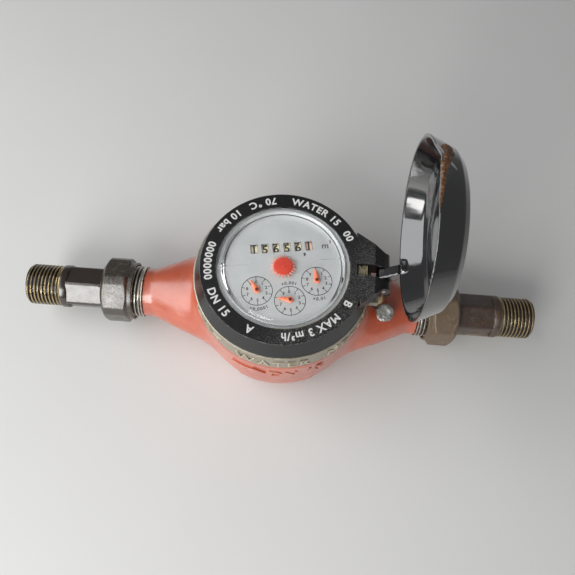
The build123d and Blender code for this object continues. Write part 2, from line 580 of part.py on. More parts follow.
# ---- seal ----
def make_seal():
    """The drilled screw beside the hinge, the wire through it and the lead that closes the wire."""
    profile = [(0, SEAL_FOOT), (SEAL_SHANK_RADIUS, SEAL_FOOT), (SEAL_SHANK_RADIUS, SEAL_SEAT),
               (SEAL_HEAD_RADIUS, SEAL_SEAT), (SEAL_HEAD_RADIUS, SEAL_SEAT + 1.6), (1.8, SEAL_HEAD_TOP),
               (0, SEAL_HEAD_TOP)]
    screw = Pos(SEAL_SCREW_X, SEAL_SCREW_Y, 0) * turned(profile)
    hole = Pos(SEAL_SCREW_X, SEAL_SCREW_Y, SEAL_HOLE_HEIGHT) * Rot(0, 90, 0) * Cylinder(WIRE_HOLE, 20)
    parts["seal_screw"] = screw - hole
    x, y, z = LEAD_CENTRE
    route = [(x - 1.2, y + 0.5, z), (x - 4.4, y + 1.4, z + 2.6), (LUG_X, LUG_Y, LUG_LOW - 1.4),
             (LUG_X, LUG_Y, LUG_HIGH + 2.0), (LUG_X + 4.0, LUG_Y + 2.6, LUG_HIGH + 3.0),
             (SEAL_SCREW_X + 4.3, SEAL_SCREW_Y - 0.9, LUG_HIGH - 1.6),
             (SEAL_SCREW_X + 4.3, SEAL_SCREW_Y, SEAL_HOLE_HEIGHT),
             (SEAL_SCREW_X - 4.1, SEAL_SCREW_Y, SEAL_HOLE_HEIGHT),
             (SEAL_SCREW_X - 4.4, SEAL_SCREW_Y - 4.1, SEAL_HOLE_HEIGHT - 0.6),
             (x - 3.8, y + 1.3, z), (x - 1.2, y - 0.7, z - 0.2)]
    path = FilletPolyline(*route, radius=0.9)
    start = Plane(origin=path @ 0, z_dir=path % 0)
    parts["seal_wire"] = sweep(start * Circle(WIRE_RADIUS), path=path)
    disc = turned([(0, -LEAD_THICKNESS / 2), (LEAD_RADIUS - 1, -LEAD_THICKNESS / 2), (LEAD_RADIUS, -0.8),
                   (LEAD_RADIUS, 0.8), (LEAD_RADIUS - 1, LEAD_THICKNESS / 2), (0, LEAD_THICKNESS / 2)])
    parts["lead_seal"] = Pos(*LEAD_CENTRE) * Rot(24, 6, 0) * disc - parts["seal_wire"]


# ---- movement ----
def upright_rods(low, high, radius, centres):
    """Upright cylinders on the arbors' centres, for holes or bosses."""
    cut = rod(radius, low, high, *centres[0])
    for centre in centres[1:]:
        cut += rod(radius, low, high, *centre)
    return cut


def make_plates():
    """The two plates of the movement, their pillars and the dial plate."""
    hole = ARBOR_RADIUS + RUNNING
    floor = PLATE_TOP + CAN_FLOOR
    lower = rod(MOVEMENT_RADIUS, LOWER_PLATE, LOWER_PLATE + MOVEMENT_PLATE)
    lower += tube(MOVEMENT_RADIUS, MOVEMENT_RADIUS - 1.2, floor, LOWER_PLATE)
    lower += upright_rods(LOWER_PLATE - BOSS_DEPTH, LOWER_PLATE, BOSS_RADIUS, [IDLER_B, IDLER_C, DRIVE])
    lower -= upright_rods(LOWER_PLATE - BOSS_DEPTH, LOWER_PLATE + MOVEMENT_PLATE, hole, ARBOR_CENTRES)
    parts["lower_plate"] = on_dial(lower)
    upper = rod(MOVEMENT_RADIUS, UPPER_PLATE, UPPER_PLATE + MOVEMENT_PLATE)
    upper -= box_between((CHEEK_LEFT - 0.6, COUNTER_V - ROLLER_RADIUS - 0.6, UPPER_PLATE - 1),
                         (CHEEK_RIGHT + 0.6, FRAME_BACK + 0.6, UPPER_PLATE + 2))
    upper -= upright_rods(UPPER_PLATE, UPPER_PLATE + MOVEMENT_PLATE, hole, ARBOR_CENTRES)
    parts["upper_plate"] = on_dial(upper)
    pillars = []
    for angle in PILLAR_ANGLES:
        u, v = polar(PILLAR_DISTANCE, angle)
        for low, high in ((LOWER_PLATE + MOVEMENT_PLATE, UPPER_PLATE),
                          (UPPER_PLATE + MOVEMENT_PLATE, DIAL_TOP - DIAL_THICKNESS)):
            pillars.append(on_dial(rod(PILLAR_RADIUS, low, high, u, v)))
    parts["pillars"] = Compound(children=pillars)
    dial = rod(CAN_RADIUS - CAN_WALL - CAN_GAP, DIAL_TOP - DIAL_THICKNESS, DIAL_TOP)
    dial -= upright_rods(DIAL_TOP - 1, DIAL_TOP, ARBOR_RADIUS + 0.3, [CENTRE] + DIALS)
    for number in range(ROLLER_COUNT):
        u = roller_u(number)
        dial -= box_between((u - WINDOW_WIDTH / 2, COUNTER_V - WINDOW_HEIGHT / 2, DIAL_TOP - 1),
                            (u + WINDOW_WIDTH / 2, COUNTER_V + WINDOW_HEIGHT / 2, DIAL_TOP))
    parts["dial_plate"] = on_dial(dial)


def arbor(centre, top, wheels, foot=LOWER_PLATE):
    """One moulded arbor: a shaft with its wheels, each given as (teeth, module, level, phase)."""
    shape = rod(ARBOR_RADIUS, foot, top)
    for teeth, module, level, phase in wheels:
        shape += gear(teeth, module, LEVELS[level], GEAR_THICKNESS, phase)
    return on_dial(Pos(centre[0], centre[1], 0) * shape)


def make_train():
    """The spindle, the arbors from the star to the counter, the pointers and the star."""
    through = DIAL_TOP + 1.0 + 1.2
    stop = UPPER_PLATE + MOVEMENT_PLATE
    shaft_foot = PLATE_TOP + CAN_FLOOR + 0.4
    parts["spindle"] = arbor(CENTRE, through, [(STAR_MESH[0], MODULE_A, 0, 0)], shaft_foot)
    parts["follower_magnet"] = tube(MAGNET_RADIUS, ARBOR_RADIUS, shaft_foot, shaft_foot + FOLLOWER_HEIGHT)
    phase = mating_phase(*STAR_MESH, MODULE_A, CENTRE, REDUCTION)
    parts["reduction_arbor"] = arbor(REDUCTION, stop, [(STAR_MESH[1], MODULE_A, 0, phase),
                                                       (REDUCTION_MESH[0], MODULE_A, 5, 0)])
    phase = mating_phase(*REDUCTION_MESH, MODULE_A, REDUCTION, DIALS[0])
    parts["arbor_x0_0001"] = arbor(DIALS[0], through, [(REDUCTION_MESH[1], MODULE_A, 5, phase),
                                                       (DECADE_IN[0], MODULE_B, 3, 0)])
    decades = {"b": (DIALS[0], IDLER_B, MODULE_B, 4), "c": (DIALS[1], IDLER_C, MODULE_C, 2)}
    for name, (start, idler, module, out) in decades.items():
        phase = mating_phase(*DECADE_IN, module, start, idler)
        wheels = [(DECADE_IN[1], module, 3, phase), (DECADE_OUT[0], module, out, 0)]
        top = LEVELS[max(out, 3)] + GEAR_THICKNESS + IDLER_TOP_GAP
        parts[f"idler_{name}"] = arbor(idler, top, wheels, LOWER_PLATE - BOSS_DEPTH)
    phase = mating_phase(*DECADE_OUT, MODULE_B, IDLER_B, DIALS[1])
    parts["arbor_x0_001"] = arbor(DIALS[1], through, [(DECADE_OUT[1], MODULE_B, 4, phase),
                                                      (DECADE_IN[0], MODULE_C, 3, 0)])
    phase = mating_phase(*DECADE_OUT, MODULE_C, IDLER_C, DIALS[2])
    parts["arbor_x0_01"] = arbor(DIALS[2], through, [(DECADE_OUT[1], MODULE_C, 2, phase),
                                                     (DRIVE_IN[0], MODULE_D, 0, 0)])
    phase = mating_phase(*DRIVE_IN, MODULE_D, DIALS[2], IDLER_D)
    wheels = [(DRIVE_IN[1], MODULE_D, 0, phase), (DRIVE_OUT[0], MODULE_D, 1, 0)]
    parts["idler_d"] = arbor(IDLER_D, stop, wheels)
    parts["counter_drive_arbor"] = counter_drive_arbor()
    for name, centre, angle in zip(("x0_0001", "x0_001", "x0_01"), DIALS, POINTER_ANGLES):
        parts[f"pointer_{name}"] = on_dial(Pos(centre[0], centre[1], 0) * Rot(0, 0, angle) * pointer())
    parts["star_indicator"] = on_dial(star())


def counter_drive_arbor():
    """The last upright arbor, whose top pinion turns the contrate wheel."""
    phase = mating_phase(*DRIVE_OUT, MODULE_D, IDLER_D, DRIVE)
    bottom = COUNTER_HEIGHT - CONTRATE_RADIUS - 1.1
    shape = rod(ARBOR_RADIUS, LOWER_PLATE - BOSS_DEPTH, bottom + 2.2)
    shape += gear(DRIVE_OUT[1], MODULE_D, LEVELS[1], GEAR_THICKNESS, phase)
    half_pitch = math.pi / CONTRATE_PINION_TEETH
    shape += gear(CONTRATE_PINION_TEETH, CONTRATE_MODULE, bottom, 2.2, math.pi + half_pitch)
    return on_dial(Pos(DRIVE[0], DRIVE[1], 0) * shape)


def pointer():
    """A teardrop pointer along +X with a hub around its arbor."""
    hub = 1.55
    tip = 0.35
    plan = make_hull((Circle(hub).edges() + (Pos(POINTER_LENGTH - tip, 0) * Circle(tip)).edges()))
    blade = Pos(0, 0, POINTER_UNDERSIDE) * extrude(plan, 0.6)
    return blade + rod(hub, POINTER_UNDERSIDE, POINTER_UNDERSIDE + 0.9) - rod(
        ARBOR_RADIUS, POINTER_UNDERSIDE - 1, POINTER_UNDERSIDE + 2)


def star():
    """The red star on top of the spindle."""
    points = []
    for number in range(STAR_POINTS):
        pitch = 2 * math.pi / STAR_POINTS
        for radius, share in ((STAR_INNER, -0.22), (STAR_RADIUS, 0.0), (STAR_INNER, 0.22)):
            angle = (number + share) * pitch
            points.append((radius * math.cos(angle), radius * math.sin(angle)))
    disc = Pos(0, 0, POINTER_UNDERSIDE) * extrude(make_face(Polyline(points, close=True)), 0.9)
    return disc - rod(ARBOR_RADIUS, POINTER_UNDERSIDE - 1, POINTER_UNDERSIDE + 2)


# ---- counter ----
def roller_u(number):
    """Middle of a roller along its shaft. Number 0 is the fastest, on the right."""
    return COUNTER_U + ((ROLLER_COUNT - 1) / 2 - number) * ROLLER_PITCH


def on_shaft(shape, u, v, height):
    """Lays an upright shape along the counter's shaft direction, its height along +u."""
    return on_dial(Pos(u, v, height) * Rot(0, 90, 0) * shape)


def roller(number):
    """A number roller: driven gear on the right, drum in the middle, two carry teeth on the left."""
    half = ROLLER_WIDTH / 2
    root = CARRY_MODULE * (ROLLER_TEETH / 2 - 1.15)
    tip = CARRY_MODULE * (ROLLER_TEETH / 2 + 0.85)
    drum = rod(ROLLER_RADIUS, -half + ROLLER_CARRY_WIDTH, half - ROLLER_GEAR_WIDTH)
    drum += gear(ROLLER_TEETH, CARRY_MODULE, half - ROLLER_GEAR_WIDTH, ROLLER_GEAR_WIDTH, roller_phase())
    drum += rod(root, -half, -half + ROLLER_CARRY_WIDTH)
    for tooth in (-1, 1):
        spur = box_between((root - 0.5, -0.3, -half), (tip, 0.3, -half + ROLLER_CARRY_WIDTH))
        drum += Rot(0, 0, 180 + tooth * 180 / ROLLER_TEETH) * spur
    drum -= rod(ROLLER_SHAFT_RADIUS + RUNNING, -half, half)
    return on_shaft(drum, roller_u(number), COUNTER_V, COUNTER_HEIGHT)


def carry_direction():
    """Direction from the roller shaft to the carry shaft, in the rollers' own upright frame."""
    return math.atan2(CARRY_V - COUNTER_V, -(CARRY_HEIGHT - COUNTER_HEIGHT))


def roller_phase():
    """A roller's gear has a gap that faces the carry shaft."""
    return carry_direction() + math.pi / ROLLER_TEETH


def carry_pinion(number):
    """The pinion between roller number and the next slower one."""
    boundary = (roller_u(number) + roller_u(number + 1)) / 2
    gap = ROLLER_PITCH - ROLLER_WIDTH
    low = -gap / 2 - ROLLER_GEAR_WIDTH + 0.1
    high = gap / 2 + ROLLER_CARRY_WIDTH - 0.1
    shape = gear(CARRY_TEETH, CARRY_MODULE, low, high - low, carry_direction() + math.pi)
    shape -= rod(CARRY_SHAFT_RADIUS + RUNNING, low, high)
    return on_shaft(shape, boundary, CARRY_V, CARRY_HEIGHT)


def make_counter():
    """Rollers, carry pinions, their shafts, the contrate wheel and the frame that holds them."""
    for number in range(ROLLER_COUNT):
        parts[f"roller_{number + 1}"] = roller(number)
    for number in range(ROLLER_COUNT - 1):
        parts[f"carry_pinion_{number + 1}"] = carry_pinion(number)
    length = CHEEK_RIGHT - CHEEK_LEFT
    roller_shaft = rod(ROLLER_SHAFT_RADIUS, 0, length)
    parts["roller_shaft"] = on_shaft(roller_shaft, CHEEK_LEFT, COUNTER_V, COUNTER_HEIGHT)
    carry_shaft = rod(CARRY_SHAFT_RADIUS, 0, length)
    parts["carry_shaft"] = on_shaft(carry_shaft, CHEEK_LEFT, CARRY_V, CARRY_HEIGHT)
    root = CONTRATE_MODULE * (CONTRATE_TEETH / 2 - 1.0)
    tip = CONTRATE_MODULE * (CONTRATE_TEETH / 2 + 1.0)
    wheel = rod(tip, ROLLER_RIGHT, ROLLER_RIGHT + CONTRATE_DISC)
    for tooth in range(CONTRATE_TEETH):
        spur = box_between((root, -0.26, ROLLER_RIGHT + CONTRATE_DISC - 0.2),
                           (tip, 0.26, ROLLER_RIGHT + CONTRATE_DISC + CONTRATE_TOOTH))
        wheel += Rot(0, 0, tooth * 360 / CONTRATE_TEETH) * spur
    wheel -= rod(ROLLER_SHAFT_RADIUS + RUNNING, ROLLER_RIGHT - 1, ROLLER_RIGHT + 5)
    parts["contrate_wheel"] = on_shaft(wheel, 0, COUNTER_V, COUNTER_HEIGHT)
    parts["counter_frame"] = on_dial(counter_frame())


def counter_frame():
    """Two cheeks on a back wall that stands on the lower plate. The right one clears the drive wheel."""
    foot = LOWER_PLATE + MOVEMENT_PLATE
    top = COUNTER_HEIGHT + 2.4
    above_wheel = LEVELS[1] + GEAR_THICKNESS + 0.6
    under_pinions = CARRY_HEIGHT - CARRY_MODULE * (CARRY_TEETH / 2 + 1) - 0.3
    frame = box_between((CHEEK_LEFT, FRAME_BACK - CHEEK, foot), (CHEEK_RIGHT, FRAME_BACK, under_pinions))
    frame += box_between((FRAME_STEP, FRAME_BACK - CHEEK, foot), (CHEEK_RIGHT, FRAME_BACK, foot + 7.0))
    frame += box_between((CHEEK_LEFT, COUNTER_V - 2.2, foot), (CHEEK_LEFT + CHEEK, FRAME_BACK, top))
    frame += box_between((CHEEK_RIGHT - CHEEK, COUNTER_V - 2.2, above_wheel),
                         (CHEEK_RIGHT, FRAME_BACK, top))
    middle = (CHEEK_LEFT + CHEEK_RIGHT) / 2
    for v, height, radius in ((COUNTER_V, COUNTER_HEIGHT, ROLLER_SHAFT_RADIUS),
                              (CARRY_V, CARRY_HEIGHT, CARRY_SHAFT_RADIUS)):
        frame -= Pos(middle, v, height) * Rot(0, 90, 0) * Cylinder(radius, FAR)
    return frame & rod(CAN_RADIUS - CAN_WALL - CAN_GAP, LOWER_PLATE, DIAL_TOP)


# ---- build ----
parts["meter_body"] = meter_body()
make_wet_side()
make_head()
make_lid()
make_unions()
make_seal()
make_plates()
make_train()
make_counter()

os.makedirs("parts", exist_ok=True)
for name, shape in parts.items():
    export_step(shape, f"parts/{name}.step")
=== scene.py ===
"""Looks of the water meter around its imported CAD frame. All lengths in metres, row frame."""
import json
import math

import bmesh
import bpy
import numpy as np
from mathutils import Matrix, Vector, noise


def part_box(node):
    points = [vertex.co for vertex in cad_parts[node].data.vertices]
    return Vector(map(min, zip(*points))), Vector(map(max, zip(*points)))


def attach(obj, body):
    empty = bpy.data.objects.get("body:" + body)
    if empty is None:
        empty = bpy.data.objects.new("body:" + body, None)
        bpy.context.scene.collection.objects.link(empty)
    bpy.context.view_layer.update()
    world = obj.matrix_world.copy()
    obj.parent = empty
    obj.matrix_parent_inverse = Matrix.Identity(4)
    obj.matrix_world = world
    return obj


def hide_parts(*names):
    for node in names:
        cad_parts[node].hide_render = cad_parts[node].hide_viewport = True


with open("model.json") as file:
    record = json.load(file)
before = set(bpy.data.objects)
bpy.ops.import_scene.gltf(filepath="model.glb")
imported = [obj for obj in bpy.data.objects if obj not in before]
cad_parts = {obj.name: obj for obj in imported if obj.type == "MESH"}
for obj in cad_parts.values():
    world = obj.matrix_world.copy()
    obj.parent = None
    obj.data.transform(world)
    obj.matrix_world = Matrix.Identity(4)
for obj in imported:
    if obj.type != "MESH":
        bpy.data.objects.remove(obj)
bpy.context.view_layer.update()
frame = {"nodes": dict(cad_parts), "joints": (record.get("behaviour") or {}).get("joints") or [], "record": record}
NODES = frame["nodes"]
JOINTS = {joint["name"]: joint for joint in frame["joints"]}
MM = 0.001
UP = Vector((0, 0, 1))

# ---- places read from the frame ----
PIPE_Z = sum(corner.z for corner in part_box("inlet_gasket")) / 2
BODY_END = -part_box("inlet_gasket")[1].x
RING_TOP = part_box("cover_ring")[1].z
HEAD_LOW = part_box("meter_body")[1].z
HEAD_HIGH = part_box("head_ring")[1].z
HEAD_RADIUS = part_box("head_ring")[1].y
DIAL_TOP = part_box("dial_plate")[1].z
ROW_AXIS = JOINTS["roller_1_spin"]["axis"]
ROW_TURN = math.atan2(ROW_AXIS[1], ROW_AXIS[0])
HINGE = JOINTS["lid_hinge"]["pos_m"]

# ---- dimensions used in several places ----
LID_OPEN = math.radians(88.7)
THREAD_PITCH = 1.814 * MM
THREAD_DEPTH = 1.16 * MM
PRINT = 0.02 * MM
CAPITAL_SHARE = 0.70


def link(thing):
    bpy.context.scene.collection.objects.link(thing)


# ---- camera, floor and light ----
def make_camera():
    """The view from in front and well above."""
    azimuth, elevation, roll = math.radians(0.93), math.radians(66.28), math.radians(4.96)
    look = Vector((math.sin(azimuth) * math.cos(elevation), math.cos(azimuth) * math.cos(elevation),
                   -math.sin(elevation)))
    level = look.cross(UP).normalized()
    above = level.cross(look)
    right = level * math.cos(roll) + above * math.sin(roll)
    top = above * math.cos(roll) - level * math.sin(roll)
    data = bpy.data.cameras.new("camera")
    data.sensor_width = 36.0
    data.lens = 37.3
    data.clip_start = 0.01
    camera = bpy.data.objects.new("camera", data)
    link(camera)
    camera.matrix_world = Matrix.Translation((0.0009, -0.1196, 0.3109)) @ Matrix(
        (right, top, -look)).transposed().to_4x4()
    bpy.context.scene.camera = camera


def area_light(name, azimuth, elevation, distance, size, watts, colour=(1, 1, 1)):
    """A rectangular light that faces the meter. Azimuth 0 is the front, positive to the right."""
    turn, lift = math.radians(azimuth), math.radians(elevation)
    place = distance * Vector((math.sin(turn) * math.cos(lift), -math.cos(turn) * math.cos(lift), math.sin(lift)))
    data = bpy.data.lights.new(name, "AREA")
    data.shape = "RECTANGLE"
    data.size, data.size_y = size
    data.energy = watts
    data.color = colour
    light = bpy.data.objects.new(name, data)
    link(light)
    light.location = place
    light.rotation_euler = (place - Vector((0, 0, 0.03))).to_track_quat("Z", "Y").to_euler()


def make_stage():
    """Pale floor, a window in front, a larger one on the left and a dim room."""
    half = 1.6
    floor = bpy.data.meshes.new("floor")
    floor.from_pydata([(-half, -half, 0), (half, -half, 0), (half, half, 0), (-half, half, 0)], [], [(0, 1, 2, 3)])
    stage = bpy.data.objects.new("floor", floor)
    link(stage)
    finish = Finish("floor_card", Roughness=0.75)
    finish.use(Base_Color=finish.ramp(finish.noise(6, 3), (0.3, (0.715, 0.715, 0.702)), (0.7, (0.74, 0.74, 0.728))))
    finish.bump(finish.noise(900, 3), 0.02 * MM)
    floor.materials.append(finish.material)
    area_light("window_front", -28, 31, 0.85, (0.42, 0.56), 4.8, (1.0, 0.99, 0.97))
    area_light("window_left", -84, 42, 1.0, (1.0, 1.0), 7.0, (0.98, 0.99, 1.0))
    world = bpy.data.worlds.new("room")
    world.use_nodes = True
    sky = world.node_tree.nodes["Background"]
    sky.inputs["Color"].default_value = (0.15, 0.152, 0.155, 1)
    sky.inputs["Strength"].default_value = 1.0
    bpy.context.scene.world = world
    bpy.context.scene.view_settings.view_transform = "Standard"


# ---- materials ----
class Finish:
    """A material around one Principled shader, with textures in object coordinates."""

    def __init__(self, name, **constants):
        self.material = bpy.data.materials.new(name)
        self.material.use_nodes = True
        self.tree = self.material.node_tree
        self.shader = self.tree.nodes["Principled BSDF"]
        self.place = self.node("TexCoord").outputs["Object"]
        for socket, value in constants.items():
            self.shader.inputs[socket.replace("_", " ")].default_value = value

    def node(self, kind, inputs=(), **settings):
        made = self.tree.nodes.new("ShaderNode" + kind)
        for key, value in settings.items():
            setattr(made, key, value)
        for socket, value in dict(inputs).items():
            if isinstance(value, bpy.types.NodeSocket):
                self.tree.links.new(value, made.inputs[socket])
            else:
                made.inputs[socket].default_value = value
        return made

    def noise(self, scale, detail=4.0, roughness=0.6, warp=0.0):
        return self.node("TexNoise", {"Vector": self.place, "Scale": scale, "Detail": detail,
                                      "Roughness": roughness, "Distortion": warp}).outputs[0]

    def ramp(self, value, *stops):
        made = self.node("ValToRGB", {0: value})
        for index, (place, colour) in enumerate(stops):
            stop = made.color_ramp.elements[index] if index < 2 else made.color_ramp.elements.new(place)
            stop.position = place
            stop.color = (*colour, 1)
        return made.outputs[0]

    def mask(self, value, low, high, start=0.0, end=1.0):
        values = {0: value, 1: low, 2: high, 3: start, 4: end}
        return self.node("MapRange", values, interpolation_type="SMOOTHSTEP").outputs[0]

    def math(self, operation, *values):
        return self.node("Math", dict(enumerate(values)), operation=operation, use_clamp=True).outputs[0]

    def times(self, first, second):
        return self.math("MULTIPLY", first, second)

    def mix(self, share, first, second):
        pair = [c if isinstance(c, bpy.types.NodeSocket) else (*c, 1) for c in (first, second)]
        return self.node("Mix", {0: share, 6: pair[0], 7: pair[1]}, data_type="RGBA").outputs[2]

    def edges(self, radius):
        """1 on convex and concave edges within the radius, 0 on flat faces."""
        soft = self.node("Bevel", {"Radius": radius}, samples=6).outputs[0]
        flat = self.node("NewGeometry").outputs["Normal"]
        same = self.node("VectorMath", {0: soft, 1: flat}, operation="DOT_PRODUCT").outputs["Value"]
        return self.mask(same, 0.86, 0.995, 1.0, 0.0)

    def crevice(self, distance):
        """1 in creases and holes, 0 in the open, read from ambient occlusion. The finishes use it to paint shade
        into creases.
        """
        open_share = self.node("AmbientOcclusion", {"Distance": distance}, samples=6).outputs["AO"]
        return self.mask(open_share, 0.35, 0.9, 1.0, 0.0)

    def axis(self, axis):
        return self.node("SeparateXYZ", {0: self.place}).outputs[axis]

    def pipe_distance(self):
        """Distance from the pipe's axis."""
        moved = self.node("VectorMath", {0: self.place, 1: (0, 0, PIPE_Z)}, operation="SUBTRACT").outputs[0]
        flat = self.node("VectorMath", {0: moved, 1: (0, 1, 1)}, operation="MULTIPLY").outputs[0]
        return self.node("VectorMath", {0: flat}, operation="LENGTH").outputs["Value"]

    def bump(self, height, distance, strength=1.0, rounding=None):
        inputs = {"Height": height, "Distance": distance, "Strength": strength}
        if rounding:
            inputs["Normal"] = self.node("Bevel", {"Radius": rounding}, samples=4).outputs[0]
        self.use(Normal=self.node("Bump", inputs).outputs[0])

    def use(self, **sockets):
        for socket, value in sockets.items():
            self.tree.links.new(value, self.shader.inputs[socket.replace("_", " ")])


def red_paint():
    f = Finish("red_paint", Coat_Weight=1.0, Coat_Roughness=0.24, Coat_IOR=1.8, Specular_IOR_Level=0.9)
    base = f.ramp(f.noise(45, 5), (0.30, (0.46, 0.058, 0.012)), (0.70, (0.60, 0.100, 0.026)))
    base = f.mix(f.mask(f.noise(320, 6, 0.7), 0.56, 0.74, 0, 0.45), base, (0.66, 0.22, 0.13))
    base = f.mix(f.mask(f.noise(900, 3), 0.66, 0.76, 0, 0.5), base, (0.17, 0.040, 0.025))
    # Darker red in creases and hollows, driven by ambient occlusion: painted shade.
    base = f.mix(f.times(f.crevice(1.2 * MM), 0.35), base, (0.24, 0.030, 0.012))
    base = f.mix(f.times(f.edges(0.5 * MM), f.mask(f.noise(240), 0.42, 0.60)), base, (0.62, 0.36, 0.24))
    f.use(Base_Color=base, Roughness=f.mask(f.noise(150, 5), 0.3, 0.75, 0.34, 0.58))
    rough = f.math("ADD", f.noise(260, 5), f.times(f.noise(900, 3), 0.4))
    f.bump(rough, 0.35 * MM, 0.55)
    return f.material


def aged_metal(name, bright, patina, bare, share, roughness, green=0.0, crests=None, crust=0.0, low=None):
    """Old brass under a glossy dark patina, with bare patches, worn edges and thread crests and green specks.

    low is a paler tone painted in patches on the underside, below the pipe's axis: a painted reflection of the
    bright floor and front light.
    """
    f = Finish(name, IOR=1.6, Specular_IOR_Level=1.0)
    base = f.mix(f.noise(150, 6, 0.65), patina, [1.9 * tone for tone in patina])
    if crust:
        rough = f.times(f.mask(f.noise(620, 5, 0.7), 0.50, 0.66), f.mask(f.noise(70, 3), 0.40, 0.60))
        base = f.mix(f.times(rough, crust), base, [3.6 * tone + 0.02 for tone in patina])
    # Paler patches on the lower side: painted reflection.
    if low:
        painted_underside_reflection = f.times(f.mask(f.axis("Z"), PIPE_Z - 6 * MM, PIPE_Z + 2 * MM, 1.0, 0.0),
                        f.mask(f.noise(130, 6, 0.7), 0.36, 0.60))
        base = f.mix(painted_underside_reflection, base, low)
    patches = f.mask(f.noise(95, 7, 0.68, warp=0.6), 0.66 - share * 0.30, 0.74 - share * 0.28)
    base = f.mix(patches, base, bare)
    worn = f.times(f.edges(0.30 * MM), f.mask(f.noise(330, 4), 0.36, 0.60, 0, 0.85))
    if crests:
        root, crest, start = crests
        distance = f.pipe_distance()
        threads = f.mask(f.axis("X"), start, start + 0.2 * MM)
        if start < 0:
            threads = f.math("SUBTRACT", 1.0, threads)
        # Thread roots are darkened almost to black by their depth: painted shade in the grooves.
        groove_shade = f.times(f.mask(distance, root, crest, 1.0, 0.0), threads)
        height = crest - root
        top = f.times(f.mask(distance, root + 0.62 * height, root + 0.95 * height), threads)
        top = f.times(top, f.mask(f.noise(170, 5), 0.34, 0.58, 0.25, 1.0))
        base = f.mix(groove_shade, base, (0.010, 0.008, 0.006))
        worn = f.math("MAXIMUM", worn, top)
    # Patina made darker in creases and holes, driven by ambient occlusion: painted shade.
    base = f.mix(f.times(f.crevice(1.4 * MM), 0.8), base, [0.35 * tone for tone in patina])
    base = f.mix(worn, base, bright)
    metal = f.math("MAXIMUM", worn, f.times(patches, 0.7))
    if green:
        specks = f.times(f.mask(f.noise(240, 6, 0.7), 0.60, 0.70), f.mask(f.noise(60), 0.45, 0.65))
        base = f.mix(f.times(specks, green), base, (0.10, 0.24, 0.15))
    f.use(Base_Color=base, Metallic=metal, Roughness=f.mask(f.noise(210, 6, 0.7), 0.3, 0.7, *roughness))
    grain = f.math("ADD", f.noise(700, 5, 0.7), f.times(f.noise(170, 4), 0.8))
    f.bump(grain, (0.12 + 0.25 * crust) * MM, 0.5, rounding=0.25 * MM)
    return f.material


def black_plastic(name, shine, grain, specks=0.5, coat=0.0):
    """Moulded black plastic with dust and light scuffs. Level faces keep a grain, paler towards the latch."""
    f = Finish(name, Specular_IOR_Level=0.6, IOR=1.6, Coat_Weight=coat, Coat_IOR=1.9, Coat_Roughness=0.08)
    level = f.mask(f.node("SeparateXYZ", {0: f.node("NewGeometry").outputs["Normal"]}).outputs["Z"], 0.93, 0.99)
    level = f.times(level, grain)
    dust = f.mask(f.noise(1500, 4, 0.75), 0.64, 0.74, 0, specks)
    cloud = f.mask(f.noise(110, 5), 0.45, 0.75, 0, 0.35)
    base = f.mix(cloud, (0.004, 0.004, 0.005), (0.010, 0.010, 0.011))
    base = f.mix(f.times(dust, f.mask(f.noise(80, 3), 0.42, 0.66)), base, (0.32, 0.31, 0.30))
    towards = f.node("VectorMath", {0: f.place, 1: (0.75, -0.66, 0)}, operation="DOT_PRODUCT").outputs["Value"]
    latch_side = f.mask(towards, 8 * MM, 30 * MM, 0.12, 1.0)
    worn_grain = f.times(level, f.mask(f.noise(1700, 3, 0.7), 0.46, 0.66, 0, 0.75))
    base = f.mix(f.times(worn_grain, latch_side), base, (0.20, 0.195, 0.19))
    scuffs = f.times(f.edges(0.5 * MM), f.mask(f.noise(420, 4), 0.40, 0.62))
    base = f.mix(scuffs, base, (0.26, 0.25, 0.24))
    low, high = shine
    gloss = f.mask(f.noise(90, 5), 0.3, 0.7, low, high)
    f.use(Base_Color=base, Roughness=f.mask(level, 0, 1, gloss, 0.30))
    f.bump(f.times(f.noise(1900, 2), level), 0.10 * MM, 0.8, rounding=0.3 * MM)
    return f.material


def clear_plastic():
    f = Finish("clear_plastic", Base_Color=(0.985, 0.99, 0.985, 1), Transmission_Weight=1.0, IOR=1.49)
    f.use(Roughness=f.mask(f.noise(260, 6, 0.7), 0.45, 0.8, 0.015, 0.10))
    f.bump(f.noise(90, 3), 0.02 * MM, 0.3)
    light = f.node("BsdfTransparent", {0: (0.96, 0.96, 0.96, 1)}).outputs[0]
    lamp_ray = f.node("LightPath").outputs["Is Shadow Ray"]
    both = f.node("MixShader", {0: lamp_ray, 1: f.shader.outputs[0], 2: light})
    f.tree.links.new(both.outputs[0], f.tree.nodes["Material Output"].inputs[0])
    return f.material


def plain(name, dark, light, roughness, metallic=0.0, scale=200, bump=0.04 * MM, **constants):
    """A cloudy tone between two colours with varying gloss and a fine surface."""
    f = Finish(name, Metallic=metallic, **constants)
    f.use(Base_Color=f.ramp(f.noise(scale, 5), (0.3, dark), (0.7, light)),
          Roughness=f.mask(f.noise(scale * 1.7, 5), 0.3, 0.7, *roughness))
    f.bump(f.noise(scale * 5, 4), bump, 0.5, rounding=0.15 * MM)
    return f.material


def tipped(name, tip):
    """White moulded arbors whose ends above the dial are coloured."""
    f = Finish(name, Roughness=0.45)
    height = DIAL_TOP + 0.9 * MM
    body = f.mix(f.mask(f.noise(400, 4), 0.3, 0.7, 0, 0.3), (0.7, 0.69, 0.65), (0.56, 0.552, 0.52))
    f.use(Base_Color=f.mix(f.mask(f.axis("Z"), height, height + 0.05 * MM), body, tip))
    f.bump(f.noise(900, 3), 0.03 * MM, 0.4)
    return f.material


